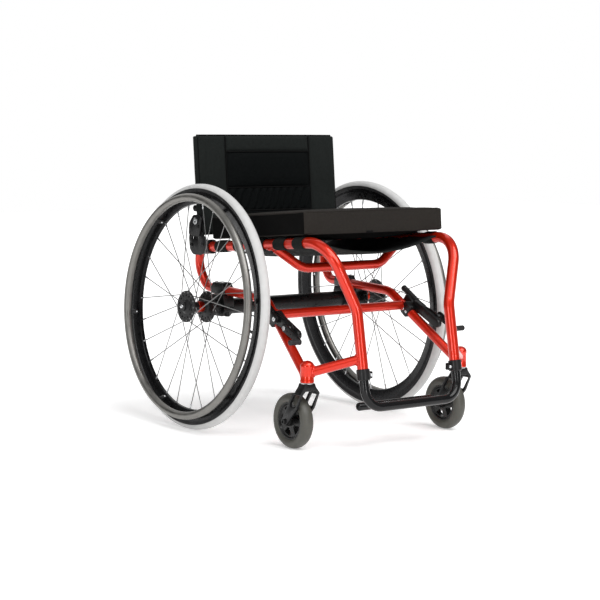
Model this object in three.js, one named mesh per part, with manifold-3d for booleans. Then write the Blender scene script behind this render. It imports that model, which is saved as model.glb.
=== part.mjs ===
// A rigid-frame manual wheelchair: millimetres, +Z up, the user faces -Y and the user's left is +X.
// The frame, wheels, casters, footrest, seat, fold-down back and wheel locks are built round the rear
// axle line (y = 0), and the whole chair is then moved along Y so that the origin is the centre of its base.
import * as THREE from "three";
import { mergeVertices } from "three/addons/utils/BufferGeometryUtils.js";
import Module from "manifold-3d";

const wasm = await Module();
wasm.setup();

// ---------------------------------------------------------------- driving dimensions
const GAP = 0.3; // between pieces that touch
const RUNNING = 0.06; // radial play of a shaft in its bore

const WHEEL_RADIUS = 295;
const TYRE_RADIUS = 12.5; // of the tyre's section
const CAMBER = THREE.MathUtils.degToRad(4);
const HALF_TRACK = 266; // from the middle of the chair to the middle of a hub
const HANDRIM_RADIUS = 261;
const HANDRIM_OFFSET = 31.7;
const HANDRIM_TUBE = 9.5;
const RIM_INNER = 247;
const SPOKES = 28;
const FLANGE_RADIUS = 38;
const OUTER_FLANGE = 27.5;
const INNER_FLANGE = -31.4;
const AXLE_RADIUS = 6.35;

const RAIL_TUBE = 12.7; // 1 inch tube
const RAIL_BORE = 11.04;
const SIDE_TUBE = 11.1; // 7/8 inch tube
const SIDE_BORE = 9.5;
const STRUT_TUBE = 11;
const HEEL_TUBE = 9.5;
const STRUT_BORE = 9.4;
const RAIL_X = 195;
const SEAT_SLOPE = THREE.MathUtils.degToRad(4.8); // the seat falls towards the back
const RAIL_FRONT_Z = 472;
const RAIL_FRONT_Y = -417;
const RAIL_REAR_Y = 66;

const CAMBER_TUBE = 19;
const CAMBER_BORE = 16.5;
const CAMBER_HALF = 208;

const CASTER_X = 229.5;
const CASTER_Y = -397;
const CASTER_RADIUS = 63.5; // 5 inch
const CASTER_HALF_WIDTH = 16;
const CASTER_TRAIL = 51;
const HOUSING_RADIUS = 16;
const HOUSING_BASE = 157;
const HOUSING_TOP = 194;
const STEM_RADIUS = 8;

const FOOT_TUBE = 10.6;
const FOOT_X = 137;
const FOOT_BAR_Z = 103;
const FOOT_BAR_Y = -496;
const FOOT_BEND = 42;

// The foam sinks a little between the rails: sag deep, sagHalf to each side, sagInset in from front and back.
const CUSHION = {
  width: 413,
  length: 373,
  height: 56,
  frontY: -353,
  bottomZ: 484,
  sag: 15,
  sagHalf: 165,
  sagInset: 16,
};
const BACK_PIVOT = new THREE.Vector3(0, 73, 495);
const BACK_LEAN = THREE.MathUtils.degToRad(5.4);
const BACK_POST_X = 200;
const BACK_POST = 11;
const BACK_HEIGHT = 205; // from the pivot to the top of the posts

const HUB_Z = (WHEEL_RADIUS - TYRE_RADIUS) * Math.cos(CAMBER) + TYRE_RADIUS;
const SIDES = { right: -1, left: 1 };

// ---------------------------------------------------------------- materials
function material(color, roughness, metalness = 0) {
  return new THREE.MeshStandardMaterial({ color, roughness, metalness });
}
const RED = material(0xd2280e, 0.25, 0.3);
const BLACK_METAL = material(0x17171a, 0.35, 0.4);
const BLACK_PLASTIC = material(0x1b1b1d, 0.5);
const STEEL = material(0xc4c6c8, 0.25, 1);
const ANODISED = material(0x6d6963, 0.4, 0.9);
const TYRE_GREY = material(0xb9b9b7, 0.85);
const CASTER_GREY = material(0x3f3f41, 0.8);
const FABRIC = material(0x101012, 0.95);

// ---------------------------------------------------------------- solids
// A geometry as a closed solid, turned right side out if its faces pointed inwards.
function solid(geometry, matrix = new THREE.Matrix4()) {
  const bare = geometry.index ? geometry.toNonIndexed() : geometry.clone();
  bare.deleteAttribute("normal");
  bare.deleteAttribute("uv");
  const merged = mergeVertices(bare.applyMatrix4(matrix), 1e-4);
  const faces = [];
  for (let i = 0; i < merged.index.count; i += 3) {
    const [a, b, c] = merged.index.array.slice(i, i + 3);
    if (a !== b && b !== c && a !== c) faces.push([a, b, c]);
  }
  const build = (list) =>
    new wasm.Manifold(
      new wasm.Mesh({
        numProp: 3,
        vertProperties: merged.attributes.position.array,
        triVerts: new Uint32Array(list.flat()),
      }),
    );
  const made = build(faces);
  return made.volume() < 0 ? build(faces.map(([a, b, c]) => [a, c, b])) : made;
}

function join(...solids) {
  return solids.reduce((whole, next) => whole.add(next));
}

function cut(whole, ...tools) {
  return tools.reduce((left, tool) => left.subtract(tool), whole);
}

// A named mesh of a solid.
function piece(name, made, look) {
  const mesh = made.getMesh();
  const geometry = new THREE.BufferGeometry();
  geometry.setAttribute("position", new THREE.BufferAttribute(mesh.vertProperties, 3));
  geometry.setIndex(new THREE.BufferAttribute(mesh.triVerts, 1));
  geometry.computeVertexNormals();
  const result = new THREE.Mesh(geometry, look);
  result.name = name;
  return result;
}

function move(x, y, z) {
  return new THREE.Matrix4().makeTranslation(x, y, z);
}

// ---------------------------------------------------------------- shapes
function circle(radius, sides) {
  const points = [];
  for (let i = 0; i < sides; i++) {
    const angle = (2 * Math.PI * i) / sides;
    points.push(new THREE.Vector2(radius * Math.cos(angle), radius * Math.sin(angle)));
  }
  return points;
}

function outline(points) {
  return new THREE.Shape(points.map(([x, y]) => new THREE.Vector2(x, y)));
}

// A tube's centre line: straight runs between corners, each corner rounded to its bend radius.
class BentLine extends THREE.Curve {
  constructor(corners, bends = [], arcSteps = 5) {
    super();
    const heading = (i) => corners[i + 1].clone().sub(corners[i]).normalize();
    this.stations = [{ point: corners[0], tangent: heading(0) }];
    for (let i = 1; i < corners.length - 1; i++) {
      const into = heading(i - 1);
      const out = heading(i);
      const turn = into.angleTo(out);
      const inward = out.clone().addScaledVector(into, -into.dot(out)).normalize();
      const radius = bends[i - 1];
      const start = corners[i].clone().addScaledVector(into, -radius * Math.tan(turn / 2));
      for (let k = 0; k <= arcSteps; k++) {
        const angle = (turn * k) / arcSteps;
        const point = start
          .clone()
          .addScaledVector(into, radius * Math.sin(angle))
          .addScaledVector(inward, radius * (1 - Math.cos(angle)));
        const tangent = into.clone().multiplyScalar(Math.cos(angle));
        this.stations.push({ point, tangent: tangent.addScaledVector(inward, Math.sin(angle)) });
      }
    }
    const last = corners.length - 1;
    this.stations.push({ point: corners[last], tangent: heading(last - 1) });
    this.steps = this.stations.length - 1;
  }
  getPointAt(u, target = new THREE.Vector3()) {
    return target.copy(this.stations[Math.round(u * this.steps)].point);
  }
  getTangentAt(u, target = new THREE.Vector3()) {
    return target.copy(this.stations[Math.round(u * this.steps)].tangent);
  }
}

// A round tube along a line, hollow when it has a bore.
function tube(line, radius, bore = 0, sides = 10, boreSides = 6) {
  const section = new THREE.Shape(circle(radius, sides));
  if (bore) section.holes.push(new THREE.Path(circle(bore, boreSides)));
  return solid(new THREE.ExtrudeGeometry(section, { steps: line.steps, extrudePath: line }));
}

function rod(from, to, radius, sides = 12) {
  return tube(new BentLine([from, to]), radius, 0, sides);
}

// A profile of [radius, distance] points turned about +X. It starts and ends on the axis, or is closed.
const AXIS_X = new THREE.Matrix4().makeRotationZ(-Math.PI / 2);
const AXIS_Z = new THREE.Matrix4().makeRotationX(Math.PI / 2);
function turned(profile, segments, matrix = AXIS_X) {
  const points = profile.map(([radius, along]) => new THREE.Vector2(radius, along));
  if (points[0].x > 0) points.push(points[0].clone());
  return solid(new THREE.LatheGeometry(points, segments), matrix);
}

// A (y, z) outline pushed along +X, and an (x, z) outline pushed along -Y.
function alongX(points, fromX, length) {
  const basis = new THREE.Matrix4().makeBasis(
    new THREE.Vector3(0, 1, 0),
    new THREE.Vector3(0, 0, 1),
    new THREE.Vector3(1, 0, 0),
  );
  const geometry = new THREE.ExtrudeGeometry(outline(points), { depth: length, bevelEnabled: false });
  return solid(geometry, move(fromX, 0, 0).multiply(basis));
}

function alongY(points, fromY, length, matrix = new THREE.Matrix4()) {
  const basis = new THREE.Matrix4().makeBasis(
    new THREE.Vector3(1, 0, 0),
    new THREE.Vector3(0, 0, 1),
    new THREE.Vector3(0, -1, 0),
  );
  const geometry = new THREE.ExtrudeGeometry(outline(points), { depth: length, bevelEnabled: false });
  return solid(geometry, matrix.clone().multiply(move(0, fromY, 0)).multiply(basis));
}

function block(center, size, matrix = new THREE.Matrix4()) {
  return solid(new THREE.BoxGeometry(...size), matrix.clone().multiply(move(...center)));
}

// The radius of a bore whose flats still clear a shaft of the given radius.
function boreFor(shaft, sides, play = RUNNING) {
  return (shaft + play) / Math.cos(Math.PI / sides);
}

// A (y, z) outline round a straight strap between two eyes, with round ends.
function strap(from, to, radiusFrom, radiusTo) {
  const angle = Math.atan2(to[1] - from[1], to[0] - from[0]);
  const points = [];
  for (let k = 0; k <= 6; k++) {
    const a = angle + Math.PI / 2 + (Math.PI * k) / 6;
    points.push([from[0] + radiusFrom * Math.cos(a), from[1] + radiusFrom * Math.sin(a)]);
  }
  for (let k = 0; k <= 6; k++) {
    const a = angle - Math.PI / 2 + (Math.PI * k) / 6;
    points.push([to[0] + radiusTo * Math.cos(a), to[1] + radiusTo * Math.sin(a)]);
  }
  return points;
}

// ---------------------------------------------------------------- frame lines
const at = (side, x, y, z) => new THREE.Vector3(side * x, y, z);
const railZ = (y) => RAIL_FRONT_Z - (y - RAIL_FRONT_Y) * Math.tan(SEAT_SLOPE);

const KNEE = { x: FOOT_X, y: -457, z: 320 };
const alongFoot = (side, z) => {
  const share = (z - KNEE.z) / (FOOT_BAR_Z - KNEE.z);
  return at(side, FOOT_X, KNEE.y + (FOOT_BAR_Y - KNEE.y) * share, z);
};

// The seat rail runs forward, turns down and inward to the knee, and ends in the footrest clamp.
function railLine(side) {
  return new BentLine(
    [
      at(side, RAIL_X, RAIL_REAR_Y, railZ(RAIL_REAR_Y)),
      at(side, 193, RAIL_FRONT_Y, RAIL_FRONT_Z),
      at(side, KNEE.x, KNEE.y, KNEE.z),
      alongFoot(side, 169),
    ],
    [78, 70],
    4,
  );
}

// The side tube drops behind the seat rail, runs forward over the axle and slants to the caster housing.
const SIDE_BEND = { x: 188, y: -180, z: 324 };
const SIDE_FOOT = { x: CASTER_X, y: CASTER_Y, z: 166 };
function sideLine(side) {
  return new BentLine(
    [
      at(side, RAIL_X, 84, 441),
      at(side, 193, 98, 385),
      at(side, 190, 66, 334),
      at(side, SIDE_BEND.x, SIDE_BEND.y, SIDE_BEND.z),
      at(side, SIDE_FOOT.x, SIDE_FOOT.y, SIDE_FOOT.z),
    ],
    [60, 34, 55],
    4,
  );
}

const slant = (y) => {
  const share = (y - SIDE_BEND.y) / (SIDE_FOOT.y - SIDE_BEND.y);
  return {
    x: SIDE_BEND.x + (SIDE_FOOT.x - SIDE_BEND.x) * share,
    z: SIDE_BEND.z + (SIDE_FOOT.z - SIDE_BEND.z) * share,
  };
};
const SLANT_ANGLE = Math.atan2(SIDE_BEND.z - SIDE_FOOT.z, SIDE_BEND.y - SIDE_FOOT.y);

const sideTubeTool = (side) => tube(sideLine(side), SIDE_TUBE + GAP);
const railTool = (side) => tube(railLine(side), RAIL_TUBE + GAP, 0, 12);
const housingTool = (side) => {
  const axisAt = (z) => at(side, CASTER_X, CASTER_Y, z);
  return rod(axisAt(HOUSING_BASE - 5), axisAt(HOUSING_TOP + 28), HOUSING_RADIUS + GAP, 20);
};

// ---------------------------------------------------------------- frame
function seatRail(name, side) {
  return piece(name + "_seat_rail", tube(railLine(side), RAIL_TUBE, RAIL_BORE, 12, 12), RED);
}

function sideTube(name, side) {
  return piece(name + "_side_tube", cut(tube(sideLine(side), SIDE_TUBE, SIDE_BORE), housingTool(side)), RED);
}

function frontStrut(name, side) {
  const line = new BentLine([at(side, CASTER_X, CASTER_Y, 178), at(side, 137, -476, 213)]);
  const strut = cut(tube(line, STRUT_TUBE, STRUT_BORE), housingTool(side), railTool(side));
  return piece(name + "_front_strut", strut, RED);
}

// The caster housing is a cup turned over the stem, with a domed top.
function casterHousing(name, side) {
  const stemBore = boreFor(STEM_RADIUS, 20);
  const cavityTop = HOUSING_TOP - 1;
  const domeRise = 13;
  const profile = [
    [0, cavityTop],
    [stemBore, cavityTop],
    [stemBore, HOUSING_BASE],
    [HOUSING_RADIUS, HOUSING_BASE],
  ];
  for (let k = 0; k <= 4; k++) {
    const angle = (Math.PI * k) / 8;
    profile.push([HOUSING_RADIUS * Math.cos(angle), HOUSING_TOP + domeRise * Math.sin(angle)]);
  }
  const mesh = piece(name + "_caster_housing", turned(profile, 20, AXIS_Z), RED);
  mesh.position.copy(at(side, CASTER_X, CASTER_Y, 0));
  return mesh;
}

const U_TUBE = { y: -209, dipX: 118, dipY: -227, dipZ: 397 };
function uCrossTube() {
  const railEnd = railZ(U_TUBE.y) - 3;
  const line = new BentLine(
    [
      at(-1, RAIL_X, U_TUBE.y, railEnd),
      at(-1, U_TUBE.dipX, U_TUBE.dipY, U_TUBE.dipZ),
      at(1, U_TUBE.dipX, U_TUBE.dipY, U_TUBE.dipZ),
      at(1, RAIL_X, U_TUBE.y, railEnd),
    ],
    [60, 60],
    4,
  );
  return piece("u_cross_tube", cut(tube(line, SIDE_TUBE, SIDE_BORE), railTool(-1), railTool(1)), RED);
}

const CROSS_Y = -224;
function lowerCrossTube() {
  const { x, z } = slant(CROSS_Y);
  const half = x - 5; // the ends are cut to the side tubes' curve
  const line = new BentLine([at(-1, half, CROSS_Y, z), at(1, half, CROSS_Y, z)]);
  const made = cut(tube(line, SIDE_TUBE, SIDE_BORE), sideTubeTool(-1), sideTubeTool(1));
  return piece("lower_cross_tube", made, RED);
}

// ---------------------------------------------------------------- camber tube and axle receivers
// A rear wheel's own frame: the origin in the hub, +X outboard along the cambered axle.
function wheelMatrix(side) {
  const turn = new THREE.Euler(0, -side * CAMBER, side < 0 ? Math.PI : 0);
  return move(side * HALF_TRACK, 0, HUB_Z).multiply(new THREE.Matrix4().makeRotationFromEuler(turn));
}

const CAMBER_Z = HUB_Z - (HALF_TRACK - CAMBER_HALF) * Math.tan(CAMBER);
const CAMBER_SIDES = 14;

function camberTube() {
  const line = new BentLine([at(-1, CAMBER_HALF, 0, CAMBER_Z), at(1, CAMBER_HALF, 0, CAMBER_Z)]);
  return piece("camber_tube", tube(line, CAMBER_TUBE, CAMBER_BORE, CAMBER_SIDES, CAMBER_SIDES), BLACK_METAL);
}

// The plug slides into the camber tube and carries the axle at the camber angle.
function camberPlug(name, side) {
  const insertRadius = CAMBER_BORE * Math.cos(Math.PI / CAMBER_SIDES) - GAP;
  const insert = rod(
    at(side, CAMBER_HALF - 45, 0, CAMBER_Z),
    at(side, CAMBER_HALF + 4, 0, CAMBER_Z),
    insertRadius,
    CAMBER_SIDES,
  );
  const collar = rod(
    at(side, CAMBER_HALF + GAP, 0, CAMBER_Z),
    at(side, CAMBER_HALF + 6, 0, CAMBER_Z),
    CAMBER_TUBE,
    CAMBER_SIDES,
  );
  const nose = [
    [0, -56],
    [17, -56],
    [18, -52],
    [14.5, -44],
    [12.5, -39],
    [0, -39],
  ];
  const bore = [
    [0, -66],
    [AXLE_RADIUS + GAP + 0.1, -66],
    [AXLE_RADIUS + GAP + 0.1, -20],
    [0, -20],
  ];
  const place = wheelMatrix(side).multiply(AXIS_X);
  const body = cut(join(insert, collar, turned(nose, 14, place)), turned(bore, 12, place));
  return piece(name + "_camber_plug", body, BLACK_METAL);
}

// A two-part clamp drawn as one block: it holds the camber tube under the side tube.
function camberClamp(name, side) {
  const top = 350;
  const bottom = 267;
  const profile = [
    [-27, top - 12],
    [-19, top],
    [19, top],
    [27, top - 12],
    [27, 318],
    [31, 308],
    [31, 280],
    [17, bottom],
    [-17, bottom],
    [-31, 280],
    [-31, 308],
    [-27, 318],
  ];
  const width = 30;
  const body = alongX(profile, side * 190 - width / 2, width);
  const hole = new BentLine([at(-1, CAMBER_HALF, 0, CAMBER_Z), at(1, CAMBER_HALF, 0, CAMBER_Z)]);
  const holeTool = tube(hole, CAMBER_TUBE + GAP, 0, CAMBER_SIDES);
  return piece(name + "_camber_clamp", cut(body, holeTool, sideTubeTool(side)), BLACK_METAL);
}

// ---------------------------------------------------------------- rear wheels
const WHEEL_SEGMENTS = 36;
const HUB_SEGMENTS = 16;

function tyre() {
  const center = WHEEL_RADIUS - TYRE_RADIUS;
  const profile = [];
  for (let k = 0; k <= 4; k++) {
    const angle = THREE.MathUtils.degToRad(-102 + 51 * k);
    profile.push([center + TYRE_RADIUS * Math.cos(angle), TYRE_RADIUS * Math.sin(angle)]);
  }
  profile.push([277.8, 7.2], [272.4, 7.2], [272.4, -7.2], [277.8, -7.2]);
  return turned(profile, WHEEL_SEGMENTS);
}

function rim() {
  const profile = [
    [RIM_INNER, -5],
    [277, -11],
    [277, -7.6],
    [271.8, -7.6],
    [271.8, 7.6],
    [277, 7.6],
    [277, 11],
    [RIM_INNER, 5],
  ];
  return turned(profile, WHEEL_SEGMENTS);
}

function hub() {
  const half = 2;
  const bore = boreFor(AXLE_RADIUS, HUB_SEGMENTS);
  const profile = [
    [bore, -38],
    [11.5, -38],
    [11.5, INNER_FLANGE - half],
    [FLANGE_RADIUS, INNER_FLANGE - half],
    [FLANGE_RADIUS, INNER_FLANGE + half],
    [15, INNER_FLANGE + half],
    [12, -2],
    [15, OUTER_FLANGE - half],
    [FLANGE_RADIUS, OUTER_FLANGE - half],
    [FLANGE_RADIUS, OUTER_FLANGE + half],
    [11.5, OUTER_FLANGE + half],
    [11.5, 34],
    [bore, 34],
  ];
  return turned(profile, HUB_SEGMENTS);
}

// One flange's spokes. Each crosses two of its neighbours and touches them there.
function spokeSet(hubX, rimX, firstHole) {
  const holePitch = (2 * Math.PI) / SPOKES;
  const sweep = 4 * holePitch;
  const wire = 1.2;
  const holeRadius = 34.5;
  const spokes = [];
  for (let k = 0; k < SPOKES / 2; k++) {
    const rimAngle = (firstHole + 2 * k) * holePitch;
    const hubAngle = rimAngle + (k % 2 ? -sweep : sweep);
    const from = new THREE.Vector3(hubX, holeRadius * Math.cos(hubAngle), holeRadius * Math.sin(hubAngle));
    const reach = RIM_INNER * Math.cos(Math.PI / WHEEL_SEGMENTS) - 0.8;
    const to = new THREE.Vector3(rimX, reach * Math.cos(rimAngle), reach * Math.sin(rimAngle));
    spokes.push(rod(from, to, wire, 3));
  }
  return join(...spokes);
}

// The handrim is a tube ring held off the rim by six tabs.
function handrim() {
  const ring = solid(
    new THREE.TorusGeometry(HANDRIM_RADIUS, HANDRIM_TUBE, 6, WHEEL_SEGMENTS),
    move(HANDRIM_OFFSET, 0, 0).multiply(new THREE.Matrix4().makeRotationY(Math.PI / 2)),
  );
  const tabs = [];
  const section = [
    [11.8, 262],
    [9, 251.5],
    [13, 247],
    [HANDRIM_OFFSET - 2, 252.5],
    [HANDRIM_OFFSET - 5, 262],
  ];
  const width = 12;
  for (let k = 0; k < 6; k++) {
    const turn = new THREE.Matrix4().makeRotationX(THREE.MathUtils.degToRad(38 + 60 * k));
    tabs.push(alongY(section, width / 2, width, turn));
  }
  return join(ring, ...tabs);
}

// The quick-release axle is a hollow-ended pin with a head, and its push button slides in the end.
const BUTTON_RADIUS = 4.8;
const BUTTON_SIDES = 12;
function axlePin() {
  const socket = boreFor(BUTTON_RADIUS, BUTTON_SIDES);
  return turned(
    [
      [0, -62],
      [AXLE_RADIUS, -62],
      [AXLE_RADIUS, 34.4],
      [11, 34.4],
      [11, 39],
      [socket, 39],
      [socket, 21],
      [0, 21],
    ],
    BUTTON_SIDES,
  );
}

function axleButton() {
  return turned(
    [
      [0, 26],
      [BUTTON_RADIUS, 26],
      [BUTTON_RADIUS, 42],
      [BUTTON_RADIUS - 1, 43],
      [0, 43],
    ],
    BUTTON_SIDES,
  );
}

function rearWheel(name, side) {
  const group = new THREE.Group();
  const flat = 2 + 1.2 + GAP;
  group.add(
    piece(name + "_wheel_tyre", tyre(), TYRE_GREY),
    piece(name + "_wheel_rim", rim(), BLACK_METAL),
    piece(name + "_wheel_hub", hub(), BLACK_METAL),
    piece(name + "_wheel_outer_spokes", spokeSet(OUTER_FLANGE - flat, 2, 0), STEEL),
    piece(name + "_wheel_inner_spokes", spokeSet(INNER_FLANGE + flat, -2, 1), STEEL),
    piece(name + "_handrim", handrim(), ANODISED),
    piece(name + "_quick_release_axle", axlePin(), STEEL),
    piece(name + "_axle_button", axleButton(), STEEL),
  );
  group.applyMatrix4(wheelMatrix(side));
  return group;
}

// ---------------------------------------------------------------- casters
const FORK_INNER = CASTER_HALF_WIDTH + 4;
const FORK_LEG = 6;
const CASTER_BOLT = 4;

function casterFork() {
  const outer = FORK_INNER + FORK_LEG;
  const shoulderZ = 131;
  const crown = alongY(
    [
      [-15, HOUSING_BASE - GAP],
      [15, HOUSING_BASE - GAP],
      [15, 146],
      [outer, 134],
      [outer, shoulderZ],
      [FORK_INNER, shoulderZ],
      [15, 136],
      [-15, 136],
      [-FORK_INNER, shoulderZ],
      [-outer, shoulderZ],
      [-outer, 134],
      [-15, 146],
    ],
    12,
    26,
  );
  const leg = [
    [-15.5, 134],
    [19, 134],
    [37, 107],
    [CASTER_TRAIL + 11, CASTER_RADIUS + 6],
    [CASTER_TRAIL + 9, CASTER_RADIUS - 9],
    [CASTER_TRAIL - 7, CASTER_RADIUS - 10],
    [4, 97],
  ];
  // a slanted window lightens each leg
  const pane = [
    [-9, 130],
    [14, 130],
    [30, 106],
    [29, 100],
    [10, 100],
  ];
  const stem = rod(new THREE.Vector3(0, 0, 140), new THREE.Vector3(0, 0, HOUSING_TOP - 6), STEM_RADIUS, 16);
  const bolt = rod(
    new THREE.Vector3(-outer - 5, CASTER_TRAIL, CASTER_RADIUS),
    new THREE.Vector3(outer + 5, CASTER_TRAIL, CASTER_RADIUS),
    CASTER_BOLT + GAP,
    12,
  );
  const legs = [alongX(leg, FORK_INNER, FORK_LEG), alongX(leg, -outer, FORK_LEG)];
  const windows = [alongX(pane, FORK_INNER - 1, FORK_LEG + 2), alongX(pane, -outer - 1, FORK_LEG + 2)];
  return cut(join(crown, stem, ...legs.map((solid, k) => cut(solid, windows[k]))), bolt);
}

function casterTyre() {
  const profile = [];
  const halfWidth = CASTER_HALF_WIDTH;
  const crownRise = 15;
  for (let k = 0; k <= 4; k++) {
    const angle = THREE.MathUtils.degToRad(-90 + 45 * k);
    profile.push([CASTER_RADIUS - crownRise + crownRise * Math.cos(angle), halfWidth * Math.sin(angle)]);
  }
  profile.push([42.5, 12], [42.5, -12]);
  return turned(profile, 28);
}

// The caster wheel's centre: a rim, a boss and five openings between its spokes.
function casterWheel() {
  const boss = [
    [boreFor(CASTER_BOLT, 12), -19],
    [11, -19],
    [11, -8],
    [42, -11],
    [42, 11],
    [11, 8],
    [11, 19],
    [boreFor(CASTER_BOLT, 12), 19],
  ];
  const openings = [];
  for (let k = 0; k < 5; k++) {
    const turn = new THREE.Matrix4().makeRotationX((2 * Math.PI * k) / 5);
    const hole = new THREE.CylinderGeometry(9.5, 9.5, 40, 6);
    openings.push(solid(hole, turn.multiply(move(0, 0, 25)).multiply(AXIS_X)));
  }
  return cut(turned(boss, 20), ...openings);
}

function casterAxle() {
  const outer = FORK_INNER + FORK_LEG;
  return turned(
    [
      [0, -outer - 4],
      [6.5, -outer - 4],
      [6.5, -outer - GAP],
      [CASTER_BOLT, -outer - GAP],
      [CASTER_BOLT, outer + GAP],
      [6.5, outer + GAP],
      [6.5, outer + 4],
      [0, outer + 4],
    ],
    12,
  );
}

function caster(name, side) {
  const group = new THREE.Group();
  group.position.set(side * CASTER_X, CASTER_Y, 0);
  const wheel = new THREE.Group();
  wheel.position.set(0, CASTER_TRAIL, CASTER_RADIUS);
  wheel.add(
    piece(name + "_caster_tyre", casterTyre(), CASTER_GREY),
    piece(name + "_caster_wheel", casterWheel(), BLACK_PLASTIC),
    piece(name + "_caster_axle", casterAxle(), STEEL),
  );
  group.add(piece(name + "_caster_fork", casterFork(), BLACK_METAL), wheel);
  return group;
}

// ---------------------------------------------------------------- footrest
// A U of tube whose legs slide inside the down tubes.
function footrestTube() {
  const line = new BentLine(
    [alongFoot(-1, 262), alongFoot(-1, FOOT_BAR_Z), alongFoot(1, FOOT_BAR_Z), alongFoot(1, 262)],
    [FOOT_BEND, FOOT_BEND],
    5,
  );
  return piece("footrest_tube", tube(line, FOOT_TUBE, 8.6, 12), BLACK_METAL);
}

// The heel bar lies behind the front bar on two flat arms.
function heelBar() {
  const half = 112;
  const y = -430;
  const z = 95;
  const bar = rod(at(-1, half, y, z), at(1, half, y, z), HEEL_TUBE, 12);
  const arms = [-1, 1].map((side) =>
    alongX(
      [
        [y, z + 4],
        [FOOT_BAR_Y + 4, FOOT_BAR_Z + 3],
        [FOOT_BAR_Y + 4, FOOT_BAR_Z - 3],
        [y, z - 4],
      ],
      side * 60 - 10,
      20,
    ),
  );
  const barEnd = (side) => at(side, 90, FOOT_BAR_Y, FOOT_BAR_Z);
  const barTool = rod(barEnd(-1), barEnd(1), FOOT_TUBE + 2 * GAP, 12);
  return piece("heel_bar", cut(join(bar, ...arms), barTool), BLACK_METAL);
}

// The clamp sits on the down tube's end and grips the footrest's leg below it.
function footrestClamp(name, side) {
  const radius = 15.5;
  const collar = rod(alongFoot(side, 190), alongFoot(side, 164), radius, 16);
  const lug = block([side * (FOOT_X - radius - 3), alongFoot(side, 177).y + 2, 176], [13, 12, 18]);
  const tubeTool = rod(alongFoot(side, 191), alongFoot(side, 168), boreFor(RAIL_TUBE, 12, GAP), 12);
  const legTool = rod(alongFoot(side, 262), alongFoot(side, 150), FOOT_TUBE + 0.5, 12);
  return piece(name + "_footrest_clamp", cut(join(collar, lug), tubeTool, legTool), BLACK_METAL);
}

// ---------------------------------------------------------------- seat
function seatMatrix(y, z) {
  return move(0, y, z).multiply(new THREE.Matrix4().makeRotationX(-SEAT_SLOPE));
}

// A sheet hung between the seat rails, lowest in the middle.
function seatSling() {
  const half = RAIL_X - RAIL_TUBE - 6;
  const sag = 37;
  const thickness = 4;
  const top = [];
  const under = [];
  for (let k = 0; k <= 8; k++) {
    const share = (2 * k) / 8 - 1;
    const z = 4 - sag * (1 - share * share);
    top.push([half * share, z]);
    under.unshift([half * share, z - thickness]);
  }
  const length = 400;
  const made = alongY([...under, ...top], 0, length, seatMatrix(40, railZ(40)));
  return piece("seat_sling", made, FABRIC);
}

// The foam block, with its underside sunk between the rails.
function seatCushion() {
  const { width, length, height, frontY, bottomZ, sag, sagHalf, sagInset } = CUSHION;
  const place = seatMatrix(frontY, bottomZ);
  const slab = block([0, length / 2, height / 2], [width, length, height], place);
  const belly = [
    [-sagHalf, 5],
    [sagHalf, 5],
  ];
  for (let k = 0; k <= 8; k++) {
    const share = 1 - (2 * k) / 8;
    belly.push([sagHalf * share, -sag * (1 - share * share)]);
  }
  const made = join(slab, alongY(belly, length - sagInset, length - 2 * sagInset, place));
  return piece("seat_cushion", made, FABRIC);
}

// ---------------------------------------------------------------- back
// The back's own frame: the origin between the pivots, +Z up along the leaning posts.
const PIVOT_BOLT = 4;
const PIVOT_SIDES = 12;

function backPost(side) {
  const bore = BACK_POST - 1.6;
  const profile = [
    [0, -14],
    [BACK_POST, -14],
    [BACK_POST, BACK_HEIGHT],
    [bore, BACK_HEIGHT],
    [bore, 12],
    [0, 12],
  ];
  const post = turned(profile, 12, move(side * BACK_POST_X, 0, 0).multiply(AXIS_Z));
  const pinRadius = boreFor(PIVOT_BOLT, PIVOT_SIDES);
  return cut(post, rod(at(side, 180, 0, 0), at(side, 230, 0, 0), pinRadius, PIVOT_SIDES));
}

function backUpholstery() {
  const half = BACK_POST_X - BACK_POST - 0.7;
  const drop = 36;
  const rise = BACK_HEIGHT + 4;
  const crown = 2;
  const thickness = 15;
  const front = [];
  const rear = [];
  for (let k = 0; k <= 8; k++) {
    const share = (2 * k) / 8 - 1;
    const y = -10 - crown * (1 - share * share);
    front.push(new THREE.Vector2(half * share, y));
    rear.unshift(new THREE.Vector2(half * share, y + thickness));
  }
  const geometry = new THREE.ExtrudeGeometry(new THREE.Shape([...front, ...rear]), {
    depth: rise + drop,
    bevelEnabled: false,
  });
  return solid(geometry, move(0, 0, -drop));
}

function backCrossBar() {
  const y = BACK_POST + 9;
  return rod(at(-1, 206, y, 32), at(1, 206, y, 32), 8, 12);
}

function back() {
  const group = new THREE.Group();
  group.position.copy(BACK_PIVOT);
  group.rotation.x = -BACK_LEAN;
  group.add(
    piece("right_back_post", backPost(-1), BLACK_METAL),
    piece("left_back_post", backPost(1), BLACK_METAL),
    piece("back_upholstery", backUpholstery(), FABRIC),
    piece("back_cross_bar", backCrossBar(), BLACK_METAL),
  );
  return group;
}

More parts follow.
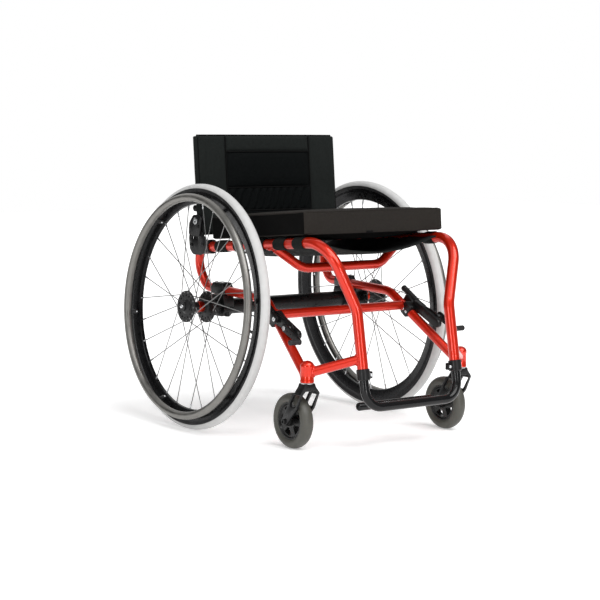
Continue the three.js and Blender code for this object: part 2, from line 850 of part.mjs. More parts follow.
// The bracket clamps the rail's rear end, takes the side tube's top and carries the back's pivot.
const PLATE_OUTER = 217;
function backBracket(name, side) {
  const lower = [
    [60, 470],
    [108, 470],
    [113, 452],
    [108, 424],
    [94, 412],
    [62, 412],
    [38, 420],
    [38, 452],
  ];
  const upper = [
    [60, 460],
    [52, 500],
    [62, 510],
    [88, 510],
    [106, 490],
    [108, 460],
  ];
  const slot = [
    [72, 449],
    [98, 449],
    [98, 457],
    [72, 457],
  ];
  const plate = (points, inner) =>
    alongX(points, side > 0 ? inner : -PLATE_OUTER, PLATE_OUTER - inner);
  const collarAxis = (y) => at(side, RAIL_X, y, railZ(y));
  const collar = rod(collarAxis(33), collarAxis(69), 17.5, 14);
  const socket = rod(at(side, RAIL_X, 85, 447), at(side, RAIL_X - 0.5, 91, 418), 15, 12);
  const solidPart = join(plate(lower, RAIL_X + RAIL_TUBE + 1), plate(upper, 211.8), collar, socket);
  const bolt = rod(
    at(side, 180, BACK_PIVOT.y, BACK_PIVOT.z),
    at(side, 230, BACK_PIVOT.y, BACK_PIVOT.z),
    PIVOT_BOLT + GAP,
    PIVOT_SIDES,
  );
  const body = cut(solidPart, railTool(side), sideTubeTool(side), bolt, alongX(slot, side * 200 - 30, 60));
  return piece(name + "_back_bracket", body, BLACK_METAL);
}

function backPivotBolt(name, side) {
  const profile = [
    [0, 189.8],
    [PIVOT_BOLT, 189.8],
    [PIVOT_BOLT, PLATE_OUTER + GAP],
    [8, PLATE_OUTER + GAP],
    [8, 222],
    [0, 222],
  ];
  const place = move(0, BACK_PIVOT.y, BACK_PIVOT.z);
  if (side < 0) place.multiply(new THREE.Matrix4().makeRotationZ(Math.PI));
  return piece(name + "_back_pivot_bolt", turned(profile, PIVOT_SIDES, place.multiply(AXIS_X)), STEEL);
}

// ---------------------------------------------------------------- wheel locks
// In the (y, z) plane beside the side tube's slant: the lever turns at LEVER, the shoe arm at SHOE.
const LEVER = [-268, 287];
const SHOE = [-318, 272];
const SHOE_ROD = [-372, 246];
const SHOE_ROD_RADIUS = 6.5;
const SHOE_TIP_X = 262;
const LOCK_PIN = 4;
const LOCK_PLATE_X = 216;
const LEVER_X = 221;
const SHOE_X = 231;

function pinTool(point, radius, side) {
  return rod(at(side, 190, ...point), at(side, 250, ...point), radius, 12);
}

function sidePlate(points, side, inner, thickness) {
  return alongX(points, side > 0 ? inner : -inner - thickness, thickness);
}

function lockClamp(name, side) {
  const { x, z } = slant(-243);
  const turn = move(side * x, -243, z).multiply(new THREE.Matrix4().makeRotationX(SLANT_ANGLE));
  const grip = block([side, 5, 3], [27, 26, 33], turn);
  const flank = block([side * 10.2, 29, 4], [8.6, 26, 34], turn);
  const body = join(grip, flank);
  const plate = sidePlate(strap([-252, 289], SHOE, 12, 11), side, LOCK_PLATE_X, 4);
  const housing = sidePlate(strap([-256, 293], [-334, 257], 12, 11), side, LOCK_PLATE_X - 11, 11.5);
  const bridge = sidePlate(strap([-246, 281], [-262, 284], 9, 9), side, LOCK_PLATE_X - 8, 10);
  const leverPin = rod(at(side, LOCK_PLATE_X + 2, ...LEVER), at(side, LEVER_X + 8, ...LEVER), LOCK_PIN, 12);
  const shoePin = rod(at(side, LOCK_PLATE_X + 2, ...SHOE), at(side, SHOE_X + 7, ...SHOE), LOCK_PIN, 12);
  const made = cut(join(body, plate, housing, bridge), sideTubeTool(side), lowerCrossTool());
  return piece(name + "_lock_clamp", join(made, leverPin, shoePin), BLACK_METAL);
}

function lowerCrossTool() {
  const { x, z } = slant(CROSS_Y);
  return rod(at(-1, x, CROSS_Y, z), at(1, x, CROSS_Y, z), boreFor(SIDE_TUBE, 12, GAP));
}

function lockLever(name, side) {
  const gripStart = [-243, 301.5];
  const gripEnd = [-190, 332];
  const arm = sidePlate(strap(LEVER, gripStart, 9, 6), side, LEVER_X, 6);
  const x = LEVER_X + 3;
  const grip = rod(at(side, x, ...gripStart), at(side, x, ...gripEnd), 7.5, 12);
  const bore = pinTool(LEVER, boreFor(LOCK_PIN, 12), side);
  return piece(name + "_lock_lever", cut(join(arm, grip), bore), BLACK_METAL);
}

function lockShoe(name, side) {
  const arm = sidePlate(strap(SHOE, SHOE_ROD, 10, 7), side, SHOE_X, 5);
  const shoeRod = rod(at(side, SHOE_X, ...SHOE_ROD), at(side, SHOE_TIP_X, ...SHOE_ROD), SHOE_ROD_RADIUS, 12);
  const bore = pinTool(SHOE, boreFor(LOCK_PIN, 12), side);
  return piece(name + "_lock_shoe", cut(join(arm, shoeRod), bore), BLACK_METAL);
}

// ---------------------------------------------------------------- assembly
const chair = new THREE.Group();
chair.add(uCrossTube(), lowerCrossTube(), camberTube(), footrestTube(), heelBar());
chair.add(seatSling(), seatCushion(), back());
for (const [name, side] of Object.entries(SIDES)) {
  chair.add(
    seatRail(name, side),
    sideTube(name, side),
    frontStrut(name, side),
    casterHousing(name, side),
    camberPlug(name, side),
    camberClamp(name, side),
    rearWheel(name, side),
    caster(name, side),
    footrestClamp(name, side),
    backBracket(name, side),
    backPivotBolt(name, side),
    lockClamp(name, side),
    lockLever(name, side),
    lockShoe(name, side),
  );
}
// The base runs from the footrest's front to the backs of the rear tyres.
chair.position.y = -(FOOT_BAR_Y - FOOT_TUBE + WHEEL_RADIUS) / 2;

const group = new THREE.Group();
group.add(chair);
export default group;
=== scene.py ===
"""A rigid-frame manual wheelchair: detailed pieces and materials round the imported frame.

Lengths are written in millimetres in the chair's own layout (rear axle line at y = 0, the user faces -Y)
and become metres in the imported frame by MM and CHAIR.
"""
import math

import bmesh
import bpy
from mathutils import Euler, Matrix, Vector, noise


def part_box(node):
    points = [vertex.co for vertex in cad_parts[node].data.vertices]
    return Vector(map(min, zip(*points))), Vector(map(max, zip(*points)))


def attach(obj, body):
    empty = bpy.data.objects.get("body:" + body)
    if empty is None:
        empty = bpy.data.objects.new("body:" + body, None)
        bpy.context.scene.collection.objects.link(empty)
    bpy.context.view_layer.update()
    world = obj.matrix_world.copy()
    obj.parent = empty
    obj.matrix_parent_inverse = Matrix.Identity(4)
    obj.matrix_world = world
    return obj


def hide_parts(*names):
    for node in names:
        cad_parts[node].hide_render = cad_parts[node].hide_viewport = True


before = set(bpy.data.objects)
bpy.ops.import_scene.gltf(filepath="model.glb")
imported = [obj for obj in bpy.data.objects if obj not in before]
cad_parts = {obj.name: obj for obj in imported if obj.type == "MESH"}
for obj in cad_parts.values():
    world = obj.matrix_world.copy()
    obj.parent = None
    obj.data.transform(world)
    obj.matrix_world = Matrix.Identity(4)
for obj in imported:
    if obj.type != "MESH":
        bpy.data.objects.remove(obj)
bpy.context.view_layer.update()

# ------------------------------------------------------------------ driving dimensions, in millimetres
MM = 0.001
tube_low, tube_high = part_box("camber_tube")
CHAIR = Matrix.Translation((0, (tube_low.y + tube_high.y) / 2, 0))

WHEEL_RADIUS = 295
TYRE_SECTION = 12.5
CAMBER = math.radians(4)
HALF_TRACK = 266
HUB_Z = (WHEEL_RADIUS - TYRE_SECTION) * math.cos(CAMBER) + TYRE_SECTION
HANDRIM_RADIUS = 261
HANDRIM_OFFSET = 31.7
HANDRIM_TUBE = 9.5
RIM_INNER = 247
SPOKES = 28
OUTER_FLANGE = 27.5
INNER_FLANGE = -31.4
FLANGE_RADIUS = 38

RAIL_TUBE = 12.7
SIDE_TUBE = 11.1
STRUT_TUBE = 11
HEEL_TUBE = 9.5
RAIL_X = 195
RAIL_REAR_Y = 66
RAIL_FRONT = Vector((193, -417, 472))
SEAT_SLOPE = math.radians(4.8)
KNEE = Vector((137, -457, 320))
FOOT_BAR = Vector((137, -496, 103))
FOOT_TUBE = 10.6
CASTER = Vector((229.5, -397, 0))
CASTER_TRAIL = 51
CASTER_RADIUS = 63.5
HOUSING_RADIUS = 16
HOUSING_BASE = 157
HOUSING_TOP = 194
SIDE_BEND = Vector((188, -180, 324))
SIDE_FOOT = Vector((CASTER.x, CASTER.y, 166))
STRUT_INNER = Vector((137, -476, 213))
STRUT_OUTER = Vector((CASTER.x, CASTER.y, 178))
RAIL_FOOT_Z = 169
CAMBER_HALF = 208
CROSS_Y = -224
SLING_SAG = 37
CAMBER_Z = HUB_Z - (HALF_TRACK - CAMBER_HALF) * math.tan(CAMBER)
BACK_PIVOT = Vector((0, 73, 495))
BACK_LEAN = math.radians(5.4)
BACK_HEIGHT = 205
SIDES = {"right": -1, "left": 1}


# ------------------------------------------------------------------ materials
NOISE_SPAN = {"From Min": 0.3, "From Max": 0.7}  # what a noise texture's values mostly fill


def node(tree, kind, inputs=None, **props):
    made = tree.nodes.new(kind)
    for key, value in props.items():
        setattr(made, key, value)
    for key, value in (inputs or {}).items():
        if isinstance(value, bpy.types.NodeSocket):
            tree.links.new(value, made.inputs[key])
        else:
            made.inputs[key].default_value = value
    return made


def surface(name, **sockets):
    """A new material, its node tree, its shader and its object coordinates."""
    material = bpy.data.materials.new(name)
    material.use_nodes = True
    tree = material.node_tree
    shader = tree.nodes["Principled BSDF"]
    for key, value in sockets.items():
        shader.inputs[key.replace("_", " ")].default_value = value
    place = tree.nodes.new("ShaderNodeTexCoord").outputs["Object"]
    return material, tree, shader, place


def spread(tree, value, low, high):
    """A noise value stretched to run from low to high."""
    sockets = {"Value": value, **NOISE_SPAN, "To Min": low, "To Max": high}
    return node(tree, "ShaderNodeMapRange", sockets).outputs["Result"]


def roughen(tree, shader, value, low, high):
    tree.links.new(spread(tree, value, low, high), shader.inputs["Roughness"])


def cloud(tree, place, scale, detail=4.0):
    sockets = {"Vector": place, "Scale": scale, "Detail": detail}
    return node(tree, "ShaderNodeTexNoise", sockets).outputs["Fac"]


def blend(tree, factor, dark, light):
    """A colour between dark and light."""
    mix = node(tree, "ShaderNodeMix", {"Factor": factor}, data_type="RGBA")
    mix.inputs["A"].default_value = (*dark, 1)
    mix.inputs["B"].default_value = (*light, 1)
    return mix.outputs["Result"]


def tint(tree, shader, factor, dark, light):
    tree.links.new(blend(tree, factor, dark, light), shader.inputs["Base Color"])


def bump(tree, shader, height, strength, distance):
    made = node(tree, "ShaderNodeBump", {"Height": height, "Strength": strength, "Distance": distance})
    tree.links.new(made.outputs["Normal"], shader.inputs["Normal"])


def math_node(tree, operation, a, b=0.0):
    made = node(tree, "ShaderNodeMath", operation=operation)
    for socket, value in zip(made.inputs, (a, b)):
        if isinstance(value, bpy.types.NodeSocket):
            tree.links.new(value, socket)
        else:
            socket.default_value = value
    return made.outputs[0]


def candy_paint():
    material, tree, shader, place = surface("red_paint", Metallic=0.6, Coat_Weight=0.6, Coat_Roughness=0.08)
    flow = cloud(tree, place, 9)
    tint(tree, shader, flow, (0.60, 0.014, 0.0006), (0.70, 0.021, 0.0008))
    roughen(tree, shader, cloud(tree, place, 60), 0.29, 0.34)
    return material


def coated_metal(name, dark, light, rough, metallic=0.3):
    """Satin black paint or anodising: fine grain, faint smudges and a varying sheen."""
    material, tree, shader, place = surface(name, Metallic=metallic)
    shader.inputs["Specular IOR Level"].default_value = 0.3
    tint(tree, shader, cloud(tree, place, 35), dark, light)
    roughen(tree, shader, cloud(tree, place, 80), rough - 0.06, rough + 0.1)
    bump(tree, shader, cloud(tree, place, 900, 3), 0.15, 0.0003)
    return material


def brushed(name, dark, light, rough, stretch):
    """Metal with fine lines drawn along one direction of the piece."""
    material, tree, shader, place = surface(name, Metallic=1.0)
    lines = node(tree, "ShaderNodeMapping", {"Vector": place, "Scale": stretch}).outputs["Vector"]
    streaks = cloud(tree, lines, 40, 6)
    tint(tree, shader, streaks, dark, light)
    roughen(tree, shader, streaks, rough - 0.08, rough + 0.08)
    bump(tree, shader, streaks, 0.08, 0.0003)
    return material


def anodised_ring():
    """The handrim: grey-bronze anodising with fine lines round the ring and scuffs from hands."""
    material, tree, shader, place = surface("handrim_anodising", Metallic=0.85)
    split = node(tree, "ShaderNodeSeparateXYZ", {"Vector": place}).outputs
    radius = node(tree, "ShaderNodeVectorMath", {0: place}, operation="LENGTH").outputs["Value"]
    lines = node(tree, "ShaderNodeCombineXYZ", {"X": split["X"], "Y": radius}).outputs["Vector"]
    fine = cloud(tree, lines, 1500, 3)
    scuffs = cloud(tree, place, 45, 8)
    tint(tree, shader, scuffs, (0.155, 0.15, 0.14), (0.27, 0.263, 0.248))
    roughen(tree, shader, scuffs, 0.3, 0.5)
    bump(tree, shader, fine, 0.1, 0.0002)
    return material


def grey_tread():
    """A pale tread that turns to black sidewall inboard of the widest part of the section."""
    material, tree, shader, place = surface("grey_tyre")
    radius = node(tree, "ShaderNodeVectorMath", {0: place}, operation="LENGTH").outputs["Value"]
    edge = (WHEEL_RADIUS - TYRE_SECTION + 1.5) * MM
    fade = 0.4 * MM
    sockets = {"Value": radius, "From Min": edge - fade, "From Max": edge + fade}
    ramp = node(tree, "ShaderNodeMapRange", sockets).outputs["Result"]
    dust = cloud(tree, place, 70, 6)
    pale = blend(tree, dust, (0.46, 0.46, 0.455), (0.58, 0.58, 0.575))
    whole = node(tree, "ShaderNodeMix", {"Factor": ramp}, data_type="RGBA")
    whole.inputs["A"].default_value = (0.012, 0.012, 0.013, 1)
    tree.links.new(pale, whole.inputs["B"])
    tree.links.new(whole.outputs["Result"], shader.inputs["Base Color"])
    roughen(tree, shader, dust, 0.62, 0.85)
    bump(tree, shader, cloud(tree, place, 1200, 3), 0.25, 0.0004)
    return material


def rubber(name, dark, light):
    material, tree, shader, place = surface(name)
    tint(tree, shader, cloud(tree, place, 90, 6), dark, light)
    roughen(tree, shader, cloud(tree, place, 40), 0.36, 0.55)
    bump(tree, shader, cloud(tree, place, 1500, 3), 0.2, 0.0004)
    return material


def woven(name, dark, light, threads, sheen, shine=0.08):
    """Cloth: two sets of threads at right angles, slubs in the colour and a soft sheen."""
    material, tree, shader, place = surface(name, Sheen_Weight=sheen, Sheen_Roughness=0.5)
    shader.inputs["Specular IOR Level"].default_value = shine
    shader.inputs["Sheen Tint"].default_value = (0.6, 0.6, 0.62, 1)
    split = node(tree, "ShaderNodeSeparateXYZ", {"Vector": place}).outputs
    waves = [math_node(tree, "SINE", math_node(tree, "MULTIPLY", split[axis], threads)) for axis in "XYZ"]
    weave = math_node(tree, "ADD", math_node(tree, "MULTIPLY", waves[0], waves[2]), waves[1])
    slubs = cloud(tree, place, 160, 6)
    worn = cloud(tree, place, 14, 3)
    tint(tree, shader, math_node(tree, "MULTIPLY", math_node(tree, "ADD", slubs, worn), 0.5), dark, light)
    roughen(tree, shader, worn, 0.72, 0.95)
    bump(tree, shader, math_node(tree, "ADD", weave, slubs), 0.35, 0.0004)
    return material


RED = candy_paint()
BLACK = coated_metal("black_metal", (0.005, 0.005, 0.0055), (0.011, 0.011, 0.0115), 0.30, 0.1)
GLOSS = coated_metal("gloss_black", (0.004, 0.004, 0.0045), (0.008, 0.008, 0.0085), 0.12, 0.0)
RIM_BLACK = coated_metal("black_rim", (0.006, 0.006, 0.007), (0.012, 0.012, 0.013), 0.26, 0.5)
CASTER_BLACK = coated_metal("caster_centre", (0.004, 0.004, 0.004), (0.009, 0.009, 0.009), 0.24, 0.0)
PLASTIC = coated_metal("black_plastic", (0.012, 0.012, 0.013), (0.022, 0.022, 0.023), 0.46, 0.0)
SPOKE = brushed("spoke_steel", (0.17, 0.17, 0.17), (0.30, 0.30, 0.30), 0.34, (1, 1, 12))
STEEL = brushed("bright_steel", (0.52, 0.53, 0.54), (0.72, 0.73, 0.74), 0.22, (1, 1, 12))
BARREL_RED = brushed("hub_barrel", (0.40, 0.02, 0.008), (0.55, 0.035, 0.012), 0.3, (1, 12, 12))
HANDRIM = anodised_ring()
TREAD = grey_tread()
CASTER_RUBBER = rubber("caster_tyre", (0.042, 0.041, 0.034), (0.070, 0.068, 0.056))
CLOTH = woven("upholstery", (0.005, 0.0062, 0.0058), (0.016, 0.0185, 0.0175), 5200, 0.02)
COVER = woven("cushion_cover", (0.010, 0.0088, 0.0078), (0.027, 0.0235, 0.0205), 4200, 0.02)
# painted shade: a darker cloth for the cushion's sides, rear and underside, standing in for the shade on them
COVER_PAINTED_SHADE = woven("cushion_painted_shade", (0.002, 0.002, 0.002), (0.006, 0.0058, 0.0056), 3000, 0.01, 0.03)
PANEL = woven("back_panel", (0.0012, 0.0016, 0.0018), (0.0045, 0.0055, 0.0055), 2600, 0.006, 0.05)
BINDING = woven("seam_binding", (0.002, 0.002, 0.002), (0.005, 0.005, 0.005), 7000, 0.02)


# ------------------------------------------------------------------ mesh helpers
def add(name, verts, faces, material, place=CHAIR, sharp=38):
    """A mesh object from millimetre vertices in the frame that place gives."""
    mesh = bpy.data.meshes.new(name)
    mesh.from_pydata([Vector(v) * MM for v in verts], [], faces)
    bm = bmesh.new()
    bm.from_mesh(mesh)
    bmesh.ops.remove_doubles(bm, verts=bm.verts, dist=1e-7)
    bmesh.ops.recalc_face_normals(bm, faces=bm.faces)
    bm.to_mesh(mesh)
    bm.free()
    mesh.materials.append(material)
    obj = bpy.data.objects.new(name, mesh)
    bpy.context.scene.collection.objects.link(obj)
    obj.matrix_world = place
    smooth(obj, sharp)
    return obj


def smooth(obj, sharp=38):
    obj.data.shade_smooth()
    obj.data.set_sharp_from_angle(angle=math.radians(sharp))


def bevel(obj, width, segments=2):
    made = obj.modifiers.new("bevel", "BEVEL")
    made.width = width * MM
    made.segments = segments
    made.limit_method = "ANGLE"
    made.angle_limit = math.radians(40)
    made.harden_normals = True
    return obj


def bake(obj):
    """Replace the object's mesh with what its modifiers make of it."""
    graph = bpy.context.evaluated_depsgraph_get()
    mesh = bpy.data.meshes.new_from_object(obj.evaluated_get(graph))
    obj.modifiers.clear()
    obj.data = mesh
    return obj


def merge(name, *objects):
    """Join objects into the first, keeping each one's materials and modifiers' results."""
    verts, faces, slots, materials = [], [], [], []
    base = objects[0].matrix_world.copy()
    for obj in objects:
        bake(obj)
        shift = base.inverted() @ obj.matrix_world
        start = len(verts)
        verts += [shift @ v.co for v in obj.data.vertices]
        local = []
        for material in obj.data.materials:
            if material not in materials:
                materials.append(material)
            local.append(materials.index(material))
        for face in obj.data.polygons:
            faces.append([start + i for i in face.vertices])
            slots.append((local[face.material_index], face.use_smooth))
    mesh = bpy.data.meshes.new(name)
    mesh.from_pydata(verts, [], faces)
    for material in materials:
        mesh.materials.append(material)
    for face, (slot, is_smooth) in zip(mesh.polygons, slots):
        face.material_index = slot
        face.use_smooth = is_smooth
    for obj in objects:
        bpy.data.objects.remove(obj)
    joined = bpy.data.objects.new(name, mesh)
    bpy.context.scene.collection.objects.link(joined)
    joined.matrix_world = base
    joined.data.set_sharp_from_angle(angle=math.radians(38))
    return joined


def bent(corners, bends=(), steps=14):
    """Points along straight runs whose corners are rounded to the bend radii."""
    points = [Vector(corners[0])]
    for before, corner, after, radius in zip(corners, corners[1:], corners[2:], bends):
        before, corner, after = Vector(before), Vector(corner), Vector(after)
        into = (corner - before).normalized()
        out = (after - corner).normalized()
        turn = into.angle(out)
        inward = (out - into * into.dot(out)).normalized()
        start = corner - into * radius * math.tan(turn / 2)
        for k in range(steps + 1):
            angle = turn * k / steps
            sideways = inward * radius * (1 - math.cos(angle))
            points.append(start + into * radius * math.sin(angle) + sideways)
    points.append(Vector(corners[-1]))
    return points


def sweep(name, points, radius, material, sides=28, place=CHAIR, closed=False, cap=0.0):
    """A round tube through points. radius is a number or a function of the point's index, and
    cap rounds the ends."""
    count = len(points)
    size = radius if callable(radius) else lambda i: radius
    heading = []
    for i in range(count):
        before = points[i - 1] if closed or i else points[0]
        after = points[(i + 1) % count] if closed or i < count - 1 else points[-1]
        heading.append((after - before).normalized())
    across = heading[0].orthogonal().normalized()
    rings = []
    for i, point in enumerate(points):
        across = (across - heading[i] * across.dot(heading[i])).normalized()
        rings.append((point, across.copy(), heading[i].cross(across), size(i)))
    if cap:
        for end in (0, -1):
            point, a, b, r = rings[end]
            outward = -heading[0] if end == 0 else heading[-1]
            domes = []
            for k in range(1, 6):
                angle = math.pi / 2 * k / 6
                domes.append((point + outward * cap * math.sin(angle), a, b, r * math.cos(angle)))
            rings = domes[::-1] + rings if end == 0 else rings + domes
    verts = []
    for point, a, b, r in rings:
        for k in range(sides):
            angle = 2 * math.pi * k / sides
            verts.append(point + a * r * math.cos(angle) + b * r * math.sin(angle))
    faces = []
    last = len(rings) if closed else len(rings) - 1
    for i in range(last):
        for k in range(sides):
            n, m = (i + 1) % len(rings), (k + 1) % sides
            faces.append((i * sides + k, i * sides + m, n * sides + m, n * sides + k))
    if not closed:
        faces.append(list(range(sides))[::-1])
        faces.append([(len(rings) - 1) * sides + k for k in range(sides)])
    return add(name, verts, faces, material, place)


def rod(name, start, end, radius, material, sides=24, place=CHAIR, cap=0.0):
    return sweep(name, [Vector(start), Vector(end)], radius, material, sides, place, cap=cap)


def turn_axis(axis):
    """The rotation that takes +X to the given direction."""
    return Vector((1, 0, 0)).rotation_difference(Vector(axis)).to_matrix().to_4x4()


def lathe(name, profile, material, place=CHAIR, segments=48, ring=False, sharp=30):
    """A profile of (radius, distance) points turned about +X of place. A ring's profile closes on itself."""
    verts, faces = [], []
    count = len(profile)
    for k in range(segments):
        angle = 2 * math.pi * k / segments
        for radius, along in profile:
            verts.append((along, radius * math.cos(angle), radius * math.sin(angle)))
    spans = count if ring else count - 1
    for k in range(segments):
        n = (k + 1) % segments
        for i in range(spans):
            j = (i + 1) % count
            quad = [k * count + i, n * count + i, n * count + j, k * count + j]
            if profile[i][0] == 0:
                quad = [k * count + i, n * count + j, k * count + j]
            elif profile[j][0] == 0:
                quad = [k * count + i, n * count + i, k * count + j]
            faces.append(quad)
    return add(name, verts, faces, material, place, sharp)


def prism(name, outline, direction, start, length, material, place=CHAIR, edge=0.8):
    """An outline pushed along an axis: (y, z) points along X, (x, z) along Y or (x, y) along Z."""
    axis = "XYZ".index(direction)
    verts = []
    for offset in (start, start + length):
        for a, b in outline:
            point = [a, b]
            point.insert(axis, offset)
            verts.append(point)
    count = len(outline)
    faces = [list(range(count)), [count + k for k in range(count)][::-1]]
    for k in range(count):
        m = (k + 1) % count
        faces.append((k, m, count + m, count + k))
    obj = add(name, verts, faces, material, place)
    return bevel(obj, edge) if edge else obj


def strap(start, end, radius_start, radius_end, steps=12):
    """The outline round a flat link between two eyes."""
    angle = math.atan2(end[1] - start[1], end[0] - start[0])
    points = []
    for (x, z), radius, base in ((start, radius_start, 0.5), (end, radius_end, -0.5)):
        for k in range(steps + 1):
            a = angle + math.pi * base + math.pi * k / steps
            points.append((x + radius * math.cos(a), z + radius * math.sin(a)))
    return points


def bolt(name, head, axis, radius=5.0, height=4.0, material=None, place=CHAIR, socket=True):
    """A socket-head bolt's head: head is the centre of its underside, axis points out of the surface."""
    material = material or STEEL
    profile = [(radius, 0), (radius, height - 0.8), (radius - 0.8, height)]
    if socket:
        profile += [(radius * 0.5, height), (radius * 0.5, height * 0.4), (0, height * 0.4)]
    else:
        profile += [(0, height)]
    frame_here = place @ Matrix.Translation(Vector(head) * MM) @ turn_axis(axis)
    return lathe(name, [(0, 0), *profile], material, frame_here, 24)


def cut_holes(obj, cutters):
    """Cut a list of cutter objects out of obj."""
    for cutter in cutters:
        made = obj.modifiers.new("hole", "BOOLEAN")
        made.operation = "DIFFERENCE"
        made.solver = "EXACT"
        made.object = cutter
    bake(obj)
    for cutter in cutters:
        bpy.data.objects.remove(cutter)
    return obj


def place_piece(obj, body, slot, *nodes):
    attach(obj, body)
    if nodes:
        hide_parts(*nodes)
    return obj


# ------------------------------------------------------------------ frame lines
def side_point(side, point):
    return Vector((side * point[0], point[1], point[2]))


def rail_z(y):
    return RAIL_FRONT.z - (y - RAIL_FRONT.y) * math.tan(SEAT_SLOPE)


def foot_point(side, z):
    share = (z - KNEE.z) / (FOOT_BAR.z - KNEE.z)
    return Vector((side * KNEE.x, KNEE.y + (FOOT_BAR.y - KNEE.y) * share, z))


def slant(y):
    share = (y - SIDE_BEND.y) / (SIDE_FOOT.y - SIDE_BEND.y)
    return SIDE_BEND.lerp(SIDE_FOOT, share)


def weld(name, main, main_axis, main_radius, branch, branch_axis, radius):
    """A rippled weld bead where a branch tube meets a main tube."""
    main, branch = Vector(main), Vector(branch)
    m, d = Vector(main_axis).normalized(), Vector(branch_axis).normalized()
    u = d.orthogonal().normalized()
    v = d.cross(u)
    points = []
    count = 96
    for k in range(count):
        angle = 2 * math.pi * k / count
        start = branch + (u * math.cos(angle) + v * math.sin(angle)) * radius - main
        p = start - m * start.dot(m)
        q = d - m * d.dot(m)
        a, b, c = q.dot(q), p.dot(q), p.dot(p) - main_radius**2
        root = math.sqrt(max(b * b - a * c, 0))
        points.append(main + start + d * ((-b - root) / a))

    def rippled(i):
        return 1.9 + 0.45 * math.sin(i * 2 * math.pi * 24 / count)

    return sweep(name, points, rippled, RED, 8, closed=True)


# ------------------------------------------------------------------ frame
def red_frame():
    for name, side in SIDES.items():
        seat_rail(name, side)
        side_tube(name, side)
        front_strut(name, side)
        weld_beads(name, side)
        housing = caster_housing(f"{name}_housing", side)
        place_piece(housing, "chassis", "red_paint", f"{name}_caster_housing")
    cross_tubes()


def seat_rail(name, side):
    """The rail under the seat, which bends down at its front to the footrest's clamp."""
    corners = [
        (side * RAIL_X, RAIL_REAR_Y, rail_z(RAIL_REAR_Y)),
        side_point(side, RAIL_FRONT),
        side_point(side, KNEE),
        foot_point(side, RAIL_FOOT_Z),
    ]
    rail = sweep(f"{name}_rail", bent(corners, (78, 70)), RAIL_TUBE, RED, 36)
    place_piece(rail, "chassis", "red_paint", f"{name}_seat_rail")


def side_tube(name, side):
    """The tube that drops from the back's bracket, runs over the axle and slants to the caster."""
    corners = [
        (side * RAIL_X, 84, 441),
        (side * 193, 98, 385),
        (side * 190, 66, 334),
        side_point(side, SIDE_BEND),
        side_point(side, slant(-383)),
    ]
    tube = sweep(f"{name}_lower_tube", bent(corners, (60, 34, 55)), SIDE_TUBE, RED, 32)
    place_piece(tube, "chassis", "red_paint", f"{name}_side_tube")


def strut_ends(side):
    return side_point(side, STRUT_INNER), side_point(side, STRUT_OUTER)


def front_strut(name, side):
    inner, outer = strut_ends(side)
    along = (outer - inner).normalized()
    strut = rod(f"{name}_strut", inner + along * 4, outer - along * 9, STRUT_TUBE, RED, 28)
    place_piece(strut, "chassis", "red_paint", f"{name}_front_strut")


def weld_beads(name, side):
    inner, outer = strut_ends(side)
    caster = side_point(side, CASTER)
    down = foot_point(side, 200) - foot_point(side, 230)
    slope = side_point(side, SIDE_FOOT - SIDE_BEND)
    rail_y = -209
    rail = (side * RAIL_X, rail_y, rail_z(rail_y))
    cross = slant(CROSS_Y)
    up = (0, 0, 1)
    welds = [
        weld(f"{name}_weld_a", inner, down, RAIL_TUBE, outer, inner - outer, STRUT_TUBE),
        weld(f"{name}_weld_b", caster, up, HOUSING_RADIUS, inner, outer - inner, STRUT_TUBE),
        weld(f"{name}_weld_c", caster, up, HOUSING_RADIUS, side_point(side, slant(-300)), slope, SIDE_TUBE),
        weld(f"{name}_weld_d", side_point(side, cross), slope, SIDE_TUBE,
             (0, CROSS_Y, cross.z), (side, 0, 0), SIDE_TUBE - 0.4),
        weld(f"{name}_weld_e", rail, (0, 1, -math.tan(SEAT_SLOPE)), RAIL_TUBE,
             (side * 118, -227, 397), (side * 77, 18, rail[2] - 400), SIDE_TUBE),
    ]
    place_piece(merge(f"{name}_weld_beads", *welds), "chassis", "red_paint")


def cross_tubes():
    """The dipped tube under the seat and the straight one between the side tubes."""
    corners = [(-184, -211.5, 444.5), (-118, -227, 397), (118, -227, 397), (184, -211.5, 444.5)]
    dipped = sweep("dipped_cross_tube", bent(corners, (60, 60)), SIDE_TUBE, RED, 32)
    place_piece(dipped, "chassis", "red_paint", "u_cross_tube")
    end = slant(CROSS_Y) - Vector((10, 0, 0))
    straight = rod("straight_cross_tube", side_point(-1, end), end, SIDE_TUBE, RED, 32)
    place_piece(straight, "chassis", "red_paint", "lower_cross_tube")


def caster_housing(name, side):
    """The upright that holds the caster's stem, with a raised ring at each end under a domed cap."""
    radius, base, top = HOUSING_RADIUS, HOUSING_BASE, HOUSING_TOP
    profile = [(8.1, base), (14.6, base), (radius, base + 1.2), (radius, base + 5)]
    profile += [(radius - 0.5, base + 6), (radius - 0.5, top - 4), (radius, top - 3), (radius, top)]
    rows = 10
    for k in range(1, rows + 1):
        angle = math.pi / 2 * k / rows
        profile.append((radius * math.cos(angle) if k < rows else 0, top + 12.7 * math.sin(angle)))
    up = CHAIR @ Matrix.Translation(side_point(side, CASTER) * MM) @ turn_axis((0, 0, 1))
    return lathe(name, profile, RED, up, 48)


# ------------------------------------------------------------------ axle tube
def wheel_place(side):
    """The rear wheel's frame: +X runs outboard along the axle, which rises by the camber."""
    turn = Euler((0, -CAMBER, math.pi if side < 0 else 0)).to_matrix().to_4x4()
    return CHAIR @ Matrix.Translation((side * HALF_TRACK * MM, 0, HUB_Z * MM)) @ turn


def axle_tube():
    ends = [(x, 0, CAMBER_Z) for x in (-CAMBER_HALF, CAMBER_HALF)]
    body = rod("axle_tube", *ends, 19, BLACK, 48)
    place_piece(bevel(body, 1.2), "chassis", "black_metal", "camber_tube")
    for name, side in SIDES.items():
        place_piece(axle_plug(name, side), "chassis", "black_metal", f"{name}_camber_plug")
        place_piece(axle_clamp(name, side), "chassis", "black_metal", f"{name}_camber_clamp")


